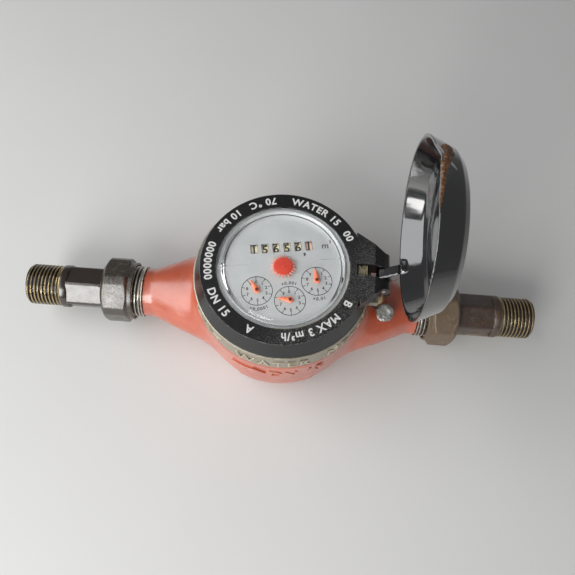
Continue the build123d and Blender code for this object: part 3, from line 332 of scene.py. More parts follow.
def star_red():
    """Translucent red plastic whose thin points are painted paler, a painted highlight."""
    f = Finish("star_red", Subsurface_Weight=0.15)
    flat = f.node("VectorMath", {0: f.place, 1: (1, 1, 0)}, operation="MULTIPLY").outputs[0]
    reach = f.node("VectorMath", {0: flat}, operation="LENGTH").outputs["Value"]
    base = f.ramp(f.noise(600, 4), (0.3, (0.55, 0.036, 0.020)), (0.7, (0.66, 0.055, 0.030)))
    # The paler tone beyond about 4.3 mm out on the points is a painted highlight.
    f.use(Base_Color=f.mix(f.mask(reach, 4.3 * MM, 4.8 * MM, 0, 0.7), base, (0.88, 0.34, 0.25)),
          Roughness=f.mask(f.noise(900, 4), 0.3, 0.7, 0.28, 0.42))
    f.bump(f.noise(2500, 3), 0.02 * MM, 0.4)
    return f.material


def dial_silver():
    """Matt silver lacquer with a faint brushing and a few dust specks."""
    f = Finish("dial_silver", Metallic=0.35)
    base = f.ramp(f.noise(60, 5), (0.3, (0.50, 0.515, 0.525)), (0.7, (0.57, 0.585, 0.59)))
    base = f.mix(f.mask(f.noise(1300, 3), 0.70, 0.78, 0, 0.35), base, (0.22, 0.22, 0.22))
    f.use(Base_Color=base, Roughness=f.mask(f.noise(300, 5), 0.3, 0.7, 0.40, 0.55))
    f.bump(f.noise(2400, 2), 0.015 * MM, 0.5)
    return f.material


def make_materials():
    """Every finish by name. Aged ones state bare edge, patina, bare patch, share of patches and gloss."""
    pipe_thread = (9.5 * MM, 10.45 * MM)
    body_thread = (12.3 * MM, 13.1 * MM)
    tail_start = 113.3 * MM
    worn_paint = ((0.70, 0.68, 0.60), (0.05, 0.016, 0.010), (0.30, 0.07, 0.04), 0.5, (0.2, 0.4))
    # The low tones in the settings are painted reflections on the undersides, paler than the patina.
    aged = {
        "dark_brass": ((0.60, 0.46, 0.24), (0.026, 0.019, 0.012), (0.16, 0.12, 0.07), 0.15, (0.16, 0.34),
                       dict(green=0.8, crust=0.9, low=(0.10, 0.095, 0.085))),
        "bronze_brass": ((0.42, 0.33, 0.19), (0.090, 0.058, 0.030), (0.24, 0.17, 0.09), 0.25, (0.36, 0.56),
                         dict(green=0.4, crust=0.5)),
        "old_brass": ((0.86, 0.74, 0.46), (0.14, 0.10, 0.055), (0.62, 0.50, 0.28), 1.2, (0.22, 0.45), {}),
        "nickel_brass": ((0.80, 0.76, 0.64), (0.20, 0.18, 0.14), (0.40, 0.37, 0.29), 0.8, (0.34, 0.55), {}),
        "tail_left": ((0.66, 0.51, 0.26), (0.018, 0.011, 0.007), (0.20, 0.13, 0.08), 0.12, (0.13, 0.28),
                      dict(crests=(*pipe_thread, -tail_start), low=(0.07, 0.065, 0.055))),
        "tail_right": ((0.56, 0.43, 0.22), (0.034, 0.016, 0.009), (0.22, 0.13, 0.06), 0.3, (0.28, 0.50),
                       dict(green=0.5, crests=(*pipe_thread, tail_start), crust=0.4, low=(0.26, 0.19, 0.10))),
        "inlet_thread": (*worn_paint, dict(crests=(*body_thread, 14 * MM - BODY_END))),
        "outlet_thread": (*worn_paint, dict(crests=(*body_thread, 0.0))),
    }
    cloudy = {
        "red_plastic": ((0.66, 0.045, 0.020), (0.76, 0.075, 0.032), (0.30, 0.42), dict(scale=500)),
        "pointer_red": ((0.80, 0.16, 0.075), (0.88, 0.23, 0.12), (0.30, 0.42),
                        dict(scale=600, Subsurface_Weight=0.15)),
        "cream_plastic": ((0.66, 0.58, 0.38), (0.76, 0.69, 0.48), (0.40, 0.55), {}),
        "pink_cream": ((0.74, 0.46, 0.36), (0.82, 0.58, 0.46), (0.40, 0.55), {}),
        "white_plastic": ((0.64, 0.63, 0.58), (0.74, 0.73, 0.69), (0.40, 0.55), {}),
        "grey_plastic": ((0.16, 0.165, 0.17), (0.24, 0.245, 0.25), (0.45, 0.6), {}),
        "black_rubber": ((0.012, 0.012, 0.012), (0.03, 0.03, 0.03), (0.65, 0.8), {}),
        "fibre": ((0.20, 0.10, 0.06), (0.32, 0.18, 0.11), (0.75, 0.9), dict(bump=0.1 * MM)),
        "magnet": ((0.05, 0.05, 0.055), (0.08, 0.08, 0.085), (0.4, 0.55), dict(metallic=0.6)),
        "steel": ((0.50, 0.50, 0.50), (0.62, 0.62, 0.61), (0.22, 0.38), dict(metallic=1.0)),
        "can_metal": ((0.58, 0.57, 0.53), (0.72, 0.71, 0.67), (0.20, 0.36), dict(metallic=0.9)),
        "letter_brass": ((0.62, 0.57, 0.45), (0.84, 0.79, 0.64), (0.28, 0.45), dict(metallic=1.0)),
        "lead": ((0.30, 0.30, 0.285), (0.62, 0.61, 0.58), (0.38, 0.62),
                 dict(metallic=0.75, scale=420, bump=0.12 * MM)),
        "wire": ((0.05, 0.045, 0.04), (0.16, 0.14, 0.12), (0.35, 0.6), dict(metallic=0.8, scale=900)),
        "white_paint": ((0.72, 0.72, 0.70), (0.86, 0.86, 0.84), (0.5, 0.65), dict(scale=900)),
        "ink": ((0.018, 0.019, 0.022), (0.045, 0.045, 0.05), (0.5, 0.6), dict(scale=2000)),
        "dirt": ((0.10, 0.085, 0.055), (0.34, 0.29, 0.19), (0.6, 0.85), dict(scale=900, bump=0.2 * MM)),
        "residue": ((0.016, 0.008, 0.004), (0.26, 0.105, 0.030), (0.08, 0.30),
                    dict(scale=1300, bump=0.5 * MM, Specular_IOR_Level=1.0)),
    }
    made = {name: aged_metal(name, *tones, **settings) for name, (*tones, settings) in aged.items()}
    made |= {name: plain(name, *tones, **settings) for name, (*tones, settings) in cloudy.items()}
    made["red_paint"] = red_paint()
    made["black_plastic"] = black_plastic("black_plastic", (0.22, 0.34), 1.0)
    made["lid_plastic"] = black_plastic("lid_plastic", (0.08, 0.18), 0.0, 0.8, 1.0)
    made["clear_plastic"] = clear_plastic()
    made["dial_silver"] = dial_silver()
    made["star_red"] = star_red()
    made["pointer_arbor"] = tipped("pointer_arbor", (0.10, 0.014, 0.012))
    made["spindle_arbor"] = tipped("spindle_arbor", (0.66, 0.05, 0.025))
    return made


# ---- mesh helpers ----
def piece(name, verts, faces, body, slot, material=None, crease=32, replaces=()):
    """A new visible piece from vertices and faces, on a body, standing for the CAD nodes it replaces."""
    mesh = bpy.data.meshes.new(name)
    mesh.from_pydata([tuple(v) for v in verts], [], [tuple(f) for f in faces])
    mesh.validate()
    mesh.shade_smooth()
    mesh.set_sharp_from_angle(angle=math.radians(crease))
    mesh.materials.append(MATERIALS[material or slot])
    made = bpy.data.objects.new(name, mesh)
    link(made)
    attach(made, body)
    if replaces:
        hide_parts(*replaces)
    return made


def grid_faces(rows, columns, close_rows=False, flip=False):
    """Quads of a grid of rows whose columns wrap around."""
    last = rows if close_rows else rows - 1
    index = np.arange(rows * columns).reshape(rows, columns)
    upper = np.roll(index, -1, 0)
    a, b = index[:last], upper[:last]
    quads = np.stack([a, np.roll(a, -1, 1), np.roll(b, -1, 1), b], -1).reshape(-1, 4)
    return quads[:, ::-1] if flip else quads


def capped_grid(rows, columns, flip=False):
    """A grid's quads with one polygon over each end."""
    faces = [tuple(face) for face in grid_faces(rows, columns, flip=flip)]
    first, last = range(columns), range((rows - 1) * columns, rows * columns)
    ends = (first, reversed(last)) if flip else (reversed(first), last)
    return faces + [tuple(end) for end in ends]


def smooth(value, low, high):
    """0 at low, 1 at high, eased between them."""
    t = np.clip((value - low) / (high - low), 0, 1)
    return t * t * (3 - 2 * t)


def ladder(low, high, step):
    """Evenly spaced places from low to high."""
    count = max(1, round((high - low) / step))
    return [low + (high - low) * n / count for n in range(count + 1)]


def turned(x, y, angle):
    """Places in a plane, turned about its origin."""
    c, s = math.cos(angle), math.sin(angle)
    return c * x - s * y, s * x + c * y


def polar(reach, angle, height):
    """Rows of x, y, z from distance, direction and height."""
    return np.stack(np.broadcast_arrays(reach * np.cos(angle), reach * np.sin(angle), height), -1)


def soft_min(a, b, width):
    """The smaller of two, rounded where they cross."""
    share = np.clip(0.5 + 0.5 * (b - a) / width, 0, 1)
    return b + (a - b) * share - width * share * (1 - share)


def lathe_grid(name, rings, side, body, slot, material, replaces=(), segments=192, crease=32):
    """A closed tube along the pipe. Each ring is (distance from the middle, radius or radius by angle)."""
    angle = np.arange(segments) * 2 * math.pi / segments
    verts = []
    for place, radius in rings:
        radius = radius(angle) if callable(radius) else np.full(segments, radius)
        verts.append(np.stack([np.full(segments, side * place), radius * np.cos(angle),
                               PIPE_Z + radius * np.sin(angle)], -1))
    verts = np.concatenate(verts)
    faces = grid_faces(len(rings), segments, close_rows=True, flip=side < 0)
    return piece(name, verts, faces, body, slot, material, crease, replaces)


def hexagon(angle, flats, turn):
    """Distance from the middle to the side of a hexagon."""
    local = (angle - math.radians(turn) + math.pi / 6) % (math.pi / 3) - math.pi / 6
    return flats / 2 / np.cos(local)


def thread_ring(place, start, end, crest, slope):
    """One ring of a helical thread: flat crests, rounded roots, a run-out at the start, a bevel at the end."""
    bevel = crest - THREAD_DEPTH + 0.2 * MM + (end - place) * slope
    fade = smooth(place, start, start + 0.9 * THREAD_PITCH)

    def ring(angle):
        phase = ((place - start) / THREAD_PITCH - angle / (2 * math.pi)) % 1.0
        cut = THREAD_DEPTH * fade * smooth(np.abs(2 * phase - 1), 0.10, 0.92)
        return np.minimum(crest - cut, bevel)
    return ring


# ---- unions ----
def make_tailpiece(end, side, turn, material):
    """A tailpiece: flange, hexagon, neck and tapering pipe thread."""
    low, high = sorted(abs(corner.x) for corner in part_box(f"{end}_tailpiece"))
    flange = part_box(f"{end}_tailpiece")[1].y
    neck, flats, crest, bore = 11.0 * MM, 19.7 * MM, 10.48 * MM, 7.0 * MM
    thread_low = high - 17.2 * MM
    hex_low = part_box("outlet_union_nut")[1].x + 0.8 * MM
    hex_high = thread_low - 3.5 * MM

    def hex_ring(angle):
        return soft_min(hexagon(angle, flats, turn), np.full_like(angle, neck), 0.25 * MM)

    bevel = 0.35 * MM
    rings = [(low, bore + 0.4 * MM), (low, flange - bevel), (low + bevel, flange), (low + 3.6 * MM - bevel, flange),
             (low + 3.6 * MM, flange - bevel), (low + 3.6 * MM, neck), (hex_low - 0.3 * MM, neck),
             (hex_low, neck - 0.12 * MM), (hex_low + 0.05 * MM, hex_ring)]
    rings += [(place, hex_ring) for place in ladder(hex_low + 1 * MM, hex_high - 0.3 * MM, 2.5 * MM)]
    rings += [(hex_high - 0.05 * MM, hex_ring), (hex_high, neck - 0.15 * MM), (hex_high + 0.25 * MM, neck),
              (thread_low - 0.5 * MM, neck), (thread_low - 0.1 * MM, neck - 0.4 * MM)]
    rings += [(place, thread_ring(place, thread_low, high, crest, 0.85))
              for place in ladder(thread_low, high, 0.16 * MM)]
    rings += [(high, bore + 0.9 * MM), (high - 0.8 * MM, bore), (low + 0.4 * MM, bore)]
    lathe_grid(f"{end}_tail", rings, side, "meter", "dark_brass", material, (f"{end}_tailpiece",), crease=38)


def make_nut(end, side, turn, corner, slot):
    """A union nut: a hexagon whose corners are turned down, with a round collar on the body's side."""
    low, high = sorted(abs(corner.x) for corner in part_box(f"{end}_union_nut"))
    flats = 31.0 * MM
    collar, collar_end = 14.9 * MM, low + 2.2 * MM
    mouth = 13.5 * MM
    bore, hole, shoulder = 13.37 * MM, 11.3 * MM, high - 3.2 * MM

    def outside(place):
        body_side = collar + max(0.0, place - collar_end) * 1.6
        tail_side = mouth + (high - place) * 1.45
        cone = min(body_side, tail_side, corner + 0.3 * MM)

        def ring(angle):
            return soft_min(hexagon(angle, flats, turn), np.full_like(angle, cone), 0.35 * MM)
        return ring

    rings = [(low, bore + 0.5 * MM), (low, collar - 0.5 * MM), (low + 0.3 * MM, outside(low + 0.3 * MM))]
    rings += [(place, outside(place)) for place in ladder(low + 0.6 * MM, high - 0.25 * MM, 0.3 * MM)]
    rings += [(high, mouth - 0.3 * MM), (high, hole + 0.3 * MM), (high - 0.3 * MM, hole), (shoulder, hole),
              (shoulder, bore), (low + 0.5 * MM, bore)]
    lathe_grid(f"{end}_nut", rings, side, f"{end}_nut", slot, slot, (f"{end}_union_nut",), 240, 40)


def make_body_thread(end, side):
    """The helical union thread at one end of the casting."""
    low, high = BODY_END - 12.3 * MM, BODY_END
    crest, core = 13.22 * MM, 12.2 * MM
    start = low + 0.5 * MM
    inner = 9.0 * MM if side > 0 else 9.42 * MM

    rings = [(low, inner), (low, core - 0.3 * MM)]
    rings += [(place, thread_ring(place, start, high, crest, 0.9)) for place in ladder(start, high, 0.17 * MM)]
    rings += [(high, inner)]
    lathe_grid(f"{end}_body_thread", rings, side, "meter", "red_paint", f"{end}_thread")


# ---- casting ----
def remeshed(node, voxel):
    """Vertices and faces of a CAD node's solid on an even grid."""
    copy = NODES[node].copy()
    copy.data = NODES[node].data.copy()
    copy.parent = None
    link(copy)
    modifier = copy.modifiers.new("even", "REMESH")
    modifier.mode = "VOXEL"
    modifier.voxel_size = voxel
    graph = bpy.context.evaluated_depsgraph_get()
    mesh = bpy.data.meshes.new_from_object(copy.evaluated_get(graph))
    bpy.data.objects.remove(copy)
    verts = np.empty(len(mesh.vertices) * 3)
    mesh.vertices.foreach_get("co", verts)
    faces = np.empty(len(mesh.polygons) * 4, int)
    mesh.polygons.foreach_get("vertices", faces)
    bpy.data.meshes.remove(mesh)
    return verts.reshape(-1, 3), faces.reshape(-1, 4)


def relaxed(verts, faces, weight, rounds):
    """Moves each vertex towards the middle of its neighbours, by its weight."""
    pairs = np.concatenate([faces[:, [0, 1]], faces[:, [1, 2]], faces[:, [2, 3]], faces[:, [3, 0]]])
    count = np.bincount(pairs.ravel(), minlength=len(verts))[:, None]
    for _ in range(rounds):
        total = np.stack([np.bincount(pairs[:, 0], verts[pairs[:, 1], k], len(verts))
                          + np.bincount(pairs[:, 1], verts[pairs[:, 0], k], len(verts)) for k in range(3)], -1)
        verts = verts + weight[:, None] * (total / np.maximum(count, 1) - verts)
    return verts


def make_casting():
    """The painted casting, with soft creases where its sides leave the cup."""
    verts, faces = remeshed("meter_body", 0.85 * MM)
    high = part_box("meter_body")[1]
    cup = high.y
    reach = np.hypot(verts[:, 0], verts[:, 1])
    outside = smooth(reach, cup - 4 * MM, cup - 1 * MM)
    fixed = smooth(verts[:, 2], high.z - 2.2 * MM, high.z - 0.8 * MM) + (verts[:, 2] < 0.3 * MM)
    near = smooth(np.abs(reach - cup), 15 * MM, 3 * MM) * (np.abs(verts[:, 0]) > 18 * MM) * outside
    weight = np.clip(near, 0, 1) * np.clip(1 - fixed, 0, 1)
    verts = relaxed(verts, faces, 0.9 * weight, 90)
    verts = relaxed(verts, faces, np.where(verts[:, 2] < 0.3 * MM, 0.0, 0.5), 4)
    verts[:, 2] = np.maximum(verts[:, 2], 0)
    lump = np.array([noise.noise(Vector(v) * 55) + 0.5 * noise.noise(Vector(v) * 170) for v in verts])
    outer = smooth(reach, cup - 3 * MM, cup - 0.5 * MM) * np.clip(1 - fixed, 0, 1)
    middle = np.stack([verts[:, 0] * 0, verts[:, 1], verts[:, 2] - PIPE_Z], -1)
    verts += middle / np.maximum(np.linalg.norm(middle, axis=1), MM)[:, None] * (lump * outer)[:, None] * 0.22 * MM
    cut = BODY_END - 11.6 * MM
    keep = (np.abs(verts[faces, 0]) < cut).all(1)
    used = np.unique(faces[keep])
    place = np.full(len(verts), -1)
    place[used] = np.arange(len(used))
    piece("casting", verts[used], place[faces[keep]], "meter", "red_paint", crease=60, replaces=("meter_body",))


# ---- words ----
def outline(text, height, depth=0.0, spacing=1.0, bold=0.0, slices=None):
    """Vertices and faces of flat or raised text, centred, with capitals of the given height.

    slices is (axis, step): extra cuts across an axis, for words that are bent round a wall.
    """
    curve = bpy.data.curves.new("words", "FONT")
    curve.body = text
    curve.align_x = "CENTER"
    curve.size = height / CAPITAL_SHARE
    curve.space_character = spacing
    curve.offset = bold
    curve.extrude = depth / 2
    curve.resolution_u = 4
    holder = bpy.data.objects.new("words", curve)
    link(holder)
    graph = bpy.context.evaluated_depsgraph_get()
    mesh = bpy.data.meshes.new_from_object(holder.evaluated_get(graph))
    if slices:
        axis, step = slices
        form = bmesh.new()
        form.from_mesh(mesh)
        low, high = (pick(v.co[axis] for v in form.verts) for pick in (min, max))
        across = Vector((1 - axis, axis, 0))
        for cut in ladder(low, high, step)[1:-1]:
            bmesh.ops.bisect_plane(form, geom=form.verts[:] + form.edges[:] + form.faces[:], plane_co=cut * across,
                                   plane_no=across)
        form.to_mesh(mesh)
        form.free()
    verts = np.array([v.co[:] for v in mesh.vertices])
    verts[:, 1] -= height / 2
    verts[:, 2] += depth / 2
    faces = [tuple(p.vertices) for p in mesh.polygons]
    bpy.data.objects.remove(holder)
    bpy.data.meshes.remove(mesh)
    return verts, faces


def joined(parts):
    """One list of vertices and faces from several."""
    verts, faces, start = [], [], 0
    for part_verts, part_faces in parts:
        verts.append(np.asarray(part_verts, float))
        faces += [tuple(index + start for index in face) for face in part_faces]
        start += len(part_verts)
    return np.concatenate(verts), faces


def around_ring(text, degrees, outward):
    """A word on the flat top of the cover ring."""
    verts, faces = outline(text, 3.55 * MM, 0.10 * MM, 1.12, 0.14 * MM)
    radius = 34.75 * MM
    way = 1 if outward else -1
    angle = math.radians(degrees) - way * verts[:, 0] / radius
    reach = radius + way * verts[:, 1]
    return polar(reach, angle, RING_TOP - 0.02 * MM + verts[:, 2]), faces


def on_cylinder(text, degrees, height, radius, size, depth, spacing=1.0, bold=0.0):
    """Raised letters on an upright wall, read from outside."""
    verts, faces = outline(text, size, depth, spacing, bold, (0, 1.0 * MM))
    angle = math.radians(degrees) + verts[:, 0] / radius
    reach = radius - 0.15 * MM + verts[:, 2]
    return polar(reach, angle, height + verts[:, 1]), faces


def make_words():
    """Printed words on the cover ring, raised ones on the head ring, and the size and arrow cast on the cup."""
    words = [around_ring(text, degrees, True) for text, degrees in (
        ("WATER 15", 65), ("00", 31), ("B", -29), ("MAX 3 m³/h", -64.5), ("A", -112))]
    words += [around_ring(text, degrees, False) for text, degrees in (
        ("70 °C", 110), ("10 bar", 141.5), ("0000000", 180), ("DN 15", -144))]
    piece("ring_words", *joined(words), "meter", "white_plastic", "white_paint")
    middle = (HEAD_LOW + HEAD_HIGH) / 2 - 0.6 * MM
    letters = on_cylinder("HOT  WATER  METER", -86, middle, HEAD_RADIUS, 6.4 * MM, 0.75 * MM, 1.22)
    piece("head_letters", *letters, "meter", "nickel_brass", "letter_brass")
    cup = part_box("meter_body")[1].y
    marks = [on_cylinder("DN 15", -76, 31 * MM, cup, 6.5 * MM, 0.45 * MM, 1.1, 0.2 * MM),
             flow_arrow(-108, 31 * MM, cup)]
    piece("cast_marks", *joined(marks), "meter", "red_paint")


def flow_arrow(degrees, height, radius):
    """A raised arrow on the front of the cup that points to the outlet."""
    corners = [(-9.0, 0.9), (-9.0, -0.9), (2.5, -0.9), (2.5, -3.0), (8.5, 0.0), (2.5, 3.0), (2.5, 0.9)]
    dense = []
    for (x0, y0), (x1, y1) in zip(corners, corners[1:] + corners[:1]):
        steps = max(1, round(abs(x1 - x0) / 1.2))
        dense += [(x0 + (x1 - x0) * n / steps, y0 + (y1 - y0) * n / steps) for n in range(steps)]
    dense = np.array(dense) * MM
    rows = [polar(radius + depth * MM, math.radians(degrees) + dense[:, 0] * shrink / radius,
                  height + dense[:, 1] * shrink) for depth, shrink in ((-0.3, 1.0), (0.45, 1.0), (0.55, 0.93))]
    return np.concatenate(rows), capped_grid(len(rows), len(dense))


# ---- dial ----
def to_row(points):
    """Turns points from the dial's own right and up directions into the row frame."""
    points = np.asarray(points, float)
    x, y = turned(points[:, 0], points[:, 1], ROW_TURN)
    return np.stack([x, y, points[:, 2]], -1)


def to_dial(place):
    """A row-frame place in the dial's own frame."""
    return turned(place[0], place[1], -ROW_TURN)


def dial_text(text, u, v, size, bold=0.06 * MM):
    verts, faces = outline(text, size, PRINT, bold=bold)
    return verts + (u, v, DIAL_TOP + PRINT / 4), faces


def dial_ring(u, v, radius, width):
    angle = np.arange(72) * math.pi / 36
    rows = [(radius - width / 2, 0), (radius - width / 2, 1), (radius + width / 2, 1), (radius + width / 2, 0)]
    verts = np.concatenate([polar(reach, angle, DIAL_TOP + top * 1.25 * PRINT) for reach, top in rows])
    return verts + (u, v, 0), grid_faces(4, 72, close_rows=True)


def dial_bar(u, v, degrees, near, far, width):
    """A short printed tick along a direction from a centre."""
    a = math.radians(degrees)
    along, across = (math.cos(a), math.sin(a)), (-math.sin(a) * width / 2, math.cos(a) * width / 2)
    corners = [(near, 1), (far, 1), (far, -1), (near, -1)]
    verts = [(u + r * along[0] + k * across[0], v + r * along[1] + k * across[1], DIAL_TOP + h * MM)
             for h in (0.0, 0.025) for r, k in corners]
    return np.array(verts), [(0, 1, 2, 3), (7, 6, 5, 4), (0, 4, 5, 1), (1, 5, 6, 2), (2, 6, 7, 3), (3, 7, 4, 0)]


def curved_label(text, centre, middle, way):
    """A word round a dial: way 1 with its tops outwards above it, way -1 with its tops inwards below it."""
    verts, faces = outline(text, 1.5 * MM, PRINT, 1.25, 0.06 * MM)
    radius = 8.9 * MM
    angle = math.radians(middle) - way * verts[:, 0] / radius
    reach = radius + way * verts[:, 1]
    return polar(reach, angle, DIAL_TOP + PRINT / 4 + verts[:, 2]) + (*centre, 0), faces


def make_dial_print():
    """The three small dials with their labels, the unit and the decimal comma."""
    radius, digit_reach = 7.1 * MM, 4.55 * MM
    parts = []
    for name in ("x0_0001", "x0_001", "x0_01"):
        u, v = to_dial(JOINTS[f"dial_{name}_spin"]["pos_m"])
        parts.append(dial_ring(u, v, radius, 0.32 * MM))
        for digit in range(10):
            degrees = 90 - 36 * digit
            parts.append(dial_bar(u, v, degrees, radius - 1.5 * MM, radius + 0.1 * MM, 0.30 * MM))
            a = math.radians(degrees)
            x, y = digit_reach * math.cos(a), digit_reach * math.sin(a)
            parts.append(dial_text(str(digit), u + x, v + y, 1.5 * MM))
    for name, label, middle, way in (("x0_0001", "×0,0001", -88, -1), ("x0_001", "×0,001", 88, 1),
                                     ("x0_01", "×0,01", -88, -1)):
        parts.append(curved_label(label, to_dial(JOINTS[f"dial_{name}_spin"]["pos_m"]), middle, way))
    parts.append(dial_text("m", 20.9 * MM, 10.2 * MM, 3.1 * MM))
    parts.append(dial_text("3", 23.5 * MM, 12.0 * MM, 1.5 * MM))
    parts.append(dial_text(",", 10.75 * MM, 8.2 * MM, 4.2 * MM, 0.18 * MM))
    verts, faces = joined(parts)
    piece("dial_print", to_row(verts), faces, "meter", "dial_silver", "ink")


def make_roller_digits():
    """Digits round each number roller. They count up as the drums turn away from the reader."""
    reading = (1, 6, 5, 6, 5, 1)
    for number, shown in enumerate(reading, 1):
        centre = np.array(JOINTS[f"roller_{number}_spin"]["pos_m"])
        low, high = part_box(f"roller_{number}")
        radius = (high.z - low.z) / 2
        lean = math.radians(-7 if number == 1 else 0)
        parts = []
        for digit in range(10):
            verts, faces = outline(str(digit), 4.1 * MM, 0.03 * MM, bold=0.13 * MM, slices=(1, 0.5 * MM))
            angle = math.radians(36) * ((digit - shown) % 10) + lean - verts[:, 1] / radius
            reach = radius - 0.005 * MM + verts[:, 2]
            local = np.stack([verts[:, 0], -np.sin(angle) * reach, np.cos(angle) * reach], -1)
            parts.append((to_row(local) + centre, faces))
        piece(f"roller_{number}_digits", *joined(parts), f"roller_{number}", "cream_plastic", "ink")


def make_star():
    """The red star: a flat disc whose points slope down."""
    low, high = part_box("star_indicator")
    points, segments = 22, 22 * 10
    angle = np.arange(segments) * 2 * math.pi / segments
    tooth = np.abs(((angle * points / (2 * math.pi)) % 1.0) - 0.5) * 2
    outer = (4.45 + 1.65 * smooth(1 - tooth, 0.30, 0.95)) * MM
    rows = [(0.8 * MM, high.z - 0.02 * MM, 0), (4.0 * MM, high.z, 0), (4.35 * MM, high.z - 0.08 * MM, 0),
            (None, high.z - 0.45 * MM, 0.94), (None, high.z - 0.60 * MM, 1.0), (None, low.z + 0.1 * MM, 0.99),
            (4.3 * MM, low.z, 0), (0.8 * MM, low.z, 0)]
    verts = []
    for radius, height, share in rows:
        reach = radius or outer * share
        verts.append(polar(reach, angle, height))
    piece("star_disc", np.concatenate(verts), grid_faces(len(rows), segments, close_rows=True, flip=True), "star",
          "red_plastic", "star_red", 40, ("star_indicator",))


def make_pointers():
    """Moulded pointers: a rounded blade that grows into its hub."""
    low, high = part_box("pointer_x0_001")
    length, hub, tip = 5.7 * MM, 1.55 * MM, 0.38 * MM
    bend = math.acos((hub - tip) / (length - tip))
    edge = [(hub * math.cos(a), hub * math.sin(a), math.cos(a), math.sin(a))
            for a in np.linspace(bend, 2 * math.pi - bend, 41)]
    edge += [(length - tip + tip * math.cos(a), tip * math.sin(a), math.cos(a), math.sin(a))
             for a in np.linspace(-bend, bend, 11)]
    plan = np.array(edge)
    angle = np.arctan2(plan[:, 1], plan[:, 0])
    rows = []
    for inset, height in ((0.0, low.z), (0.0, low.z + 0.35 * MM), (0.15 * MM, low.z + 0.55 * MM)):
        rows.append(np.column_stack([plan[:, :2] - inset * plan[:, 2:], np.full(len(plan), height)]))
    for radius, height in ((hub - 0.25 * MM, low.z + 0.62 * MM), (hub - 0.4 * MM, high.z),
                           (0.78 * MM, high.z + 0.02 * MM), (0.78 * MM, low.z)):
        rows.append(polar(radius, angle, height))
    shape = np.concatenate(rows)
    for name, turn in (("x0_0001", 117.0), ("x0_001", 166.0), ("x0_01", 93.0)):
        centre = Vector(JOINTS[f"dial_{name}_spin"]["pos_m"])
        x, y = turned(shape[:, 0], shape[:, 1], math.radians(turn) + ROW_TURN)
        verts = np.stack([centre.x + x, centre.y + y, shape[:, 2]], -1)
        piece(f"pointer_{name}_blade", verts, grid_faces(len(rows), len(plan), close_rows=True, flip=True),
              f"dial_{name}", "red_plastic", "pointer_red", 50, (f"pointer_{name}",))


# ---- window ----
def make_window():
    """The clear moulded window: rounded shoulder, flat top and two raised ribs that run over the shoulder."""
    low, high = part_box("lens")
    top = high.z - 0.35 * MM
    fine = np.arange(0.4, 13.5, 0.25)
    local = np.radians(np.unique(np.concatenate([np.arange(0, 360, 2.0), fine, 180 - fine]).round(3)))
    angle = local + ROW_TURN
    flange = high.y
    edge, ledge = 30.9 * MM, low.z + 1.5 * MM

    def ribs(radius):
        u, v = radius * np.cos(local), radius * np.sin(local)
        across = 1 - smooth(np.abs(v - 1.9 * MM), 1.02 * MM, 1.34 * MM)
        along = smooth(np.abs(u), 15.4 * MM, 15.7 * MM) * (1 - smooth(np.abs(u), 29.6 * MM, 30.2 * MM))
        return 0.42 * MM * across * along

    rows = [(0.5 * MM, top), (8 * MM, top), (13 * MM, top)]
    rows += [(radius, top) for radius in ladder(15.2 * MM, 16.4 * MM, 0.15 * MM)]
    rows += [(radius, top) for radius in ladder(16.8 * MM, 26.8 * MM, 0.4 * MM)]
    for step in range(7):
        a = math.radians(15 * step)
        rows.append((27.1 * MM + 1.6 * MM * math.sin(a), top - 1.6 * MM + 1.6 * MM * math.cos(a)))
    rows += [(29.3 * MM, top - 2.0 * MM), (30.2 * MM, top - 2.15 * MM)]
    outer = len(rows)
    rows += [(edge, top - 2.4 * MM), (edge, ledge + 0.2 * MM), (edge + 0.2 * MM, ledge), (flange - 0.2 * MM, ledge),
             (flange, ledge - 0.2 * MM), (flange, low.z), (edge - 2.0 * MM, low.z), (edge - 2.0 * MM, ledge)]
    for step in range(6):
        a = math.radians(80 - 16 * step)
        rows.append((26.0 * MM + 1.4 * MM * math.sin(a), top - 3.4 * MM + 1.4 * MM * math.cos(a)))
    rows.append((0.5 * MM, top - 2.0 * MM))
    verts = []
    for number, (radius, height) in enumerate(rows):
        lift = ribs(radius) if number < outer else 0.0
        verts.append(polar(radius, angle, height + lift))
    piece("window", np.concatenate(verts), capped_grid(len(rows), len(local), flip=True), "meter", "clear_plastic",
          crease=30, replaces=("lens",))


def make_rims():
    """The dial's upturned rim inside the window, and the bright top edge of the head ring."""
    angle = np.arange(240) * math.pi / 120
    for name, slot, material, profile in (
            ("dial_rim", "dial_silver", "dial_silver",
             [(28.0, 0.0), (28.0, 1.5), (28.15, 1.65), (28.4, 1.65), (28.55, 1.5), (28.55, 0.0)]),
            ("head_ring_edge", "nickel_brass", "letter_brass",
             [(41.2, -0.3), (41.2, 0.0), (41.9, 0.05), (42.15, -0.05), (42.3, -0.3), (42.2, -0.5)])):
        base = DIAL_TOP if slot == "dial_silver" else HEAD_HIGH
        rows = [polar(reach * MM, angle, base + height * MM) for reach, height in profile]
        piece(name, np.concatenate(rows), grid_faces(len(rows), 240, close_rows=True, flip=True), "meter", slot,
              material)


# ---- lid ----
def make_lid():
    """The lid with its moulded edges rounded."""
    verts, faces = remeshed("lid", 0.42 * MM)
    verts = relaxed(verts, faces, np.full(len(verts), 0.5), 3)
    piece("lid_cap", verts, faces, "lid", "black_plastic", "lid_plastic", 180, ("lid",))


def opened(points):
    """Turns places on the shut lid to where they are on the open one."""
    x, z = turned(points[:, 0] - HINGE[0], points[:, 2] - HINGE[2], -LID_OPEN)
    return np.stack([HINGE[0] + x, points[:, 1], HINGE[2] + z], -1)


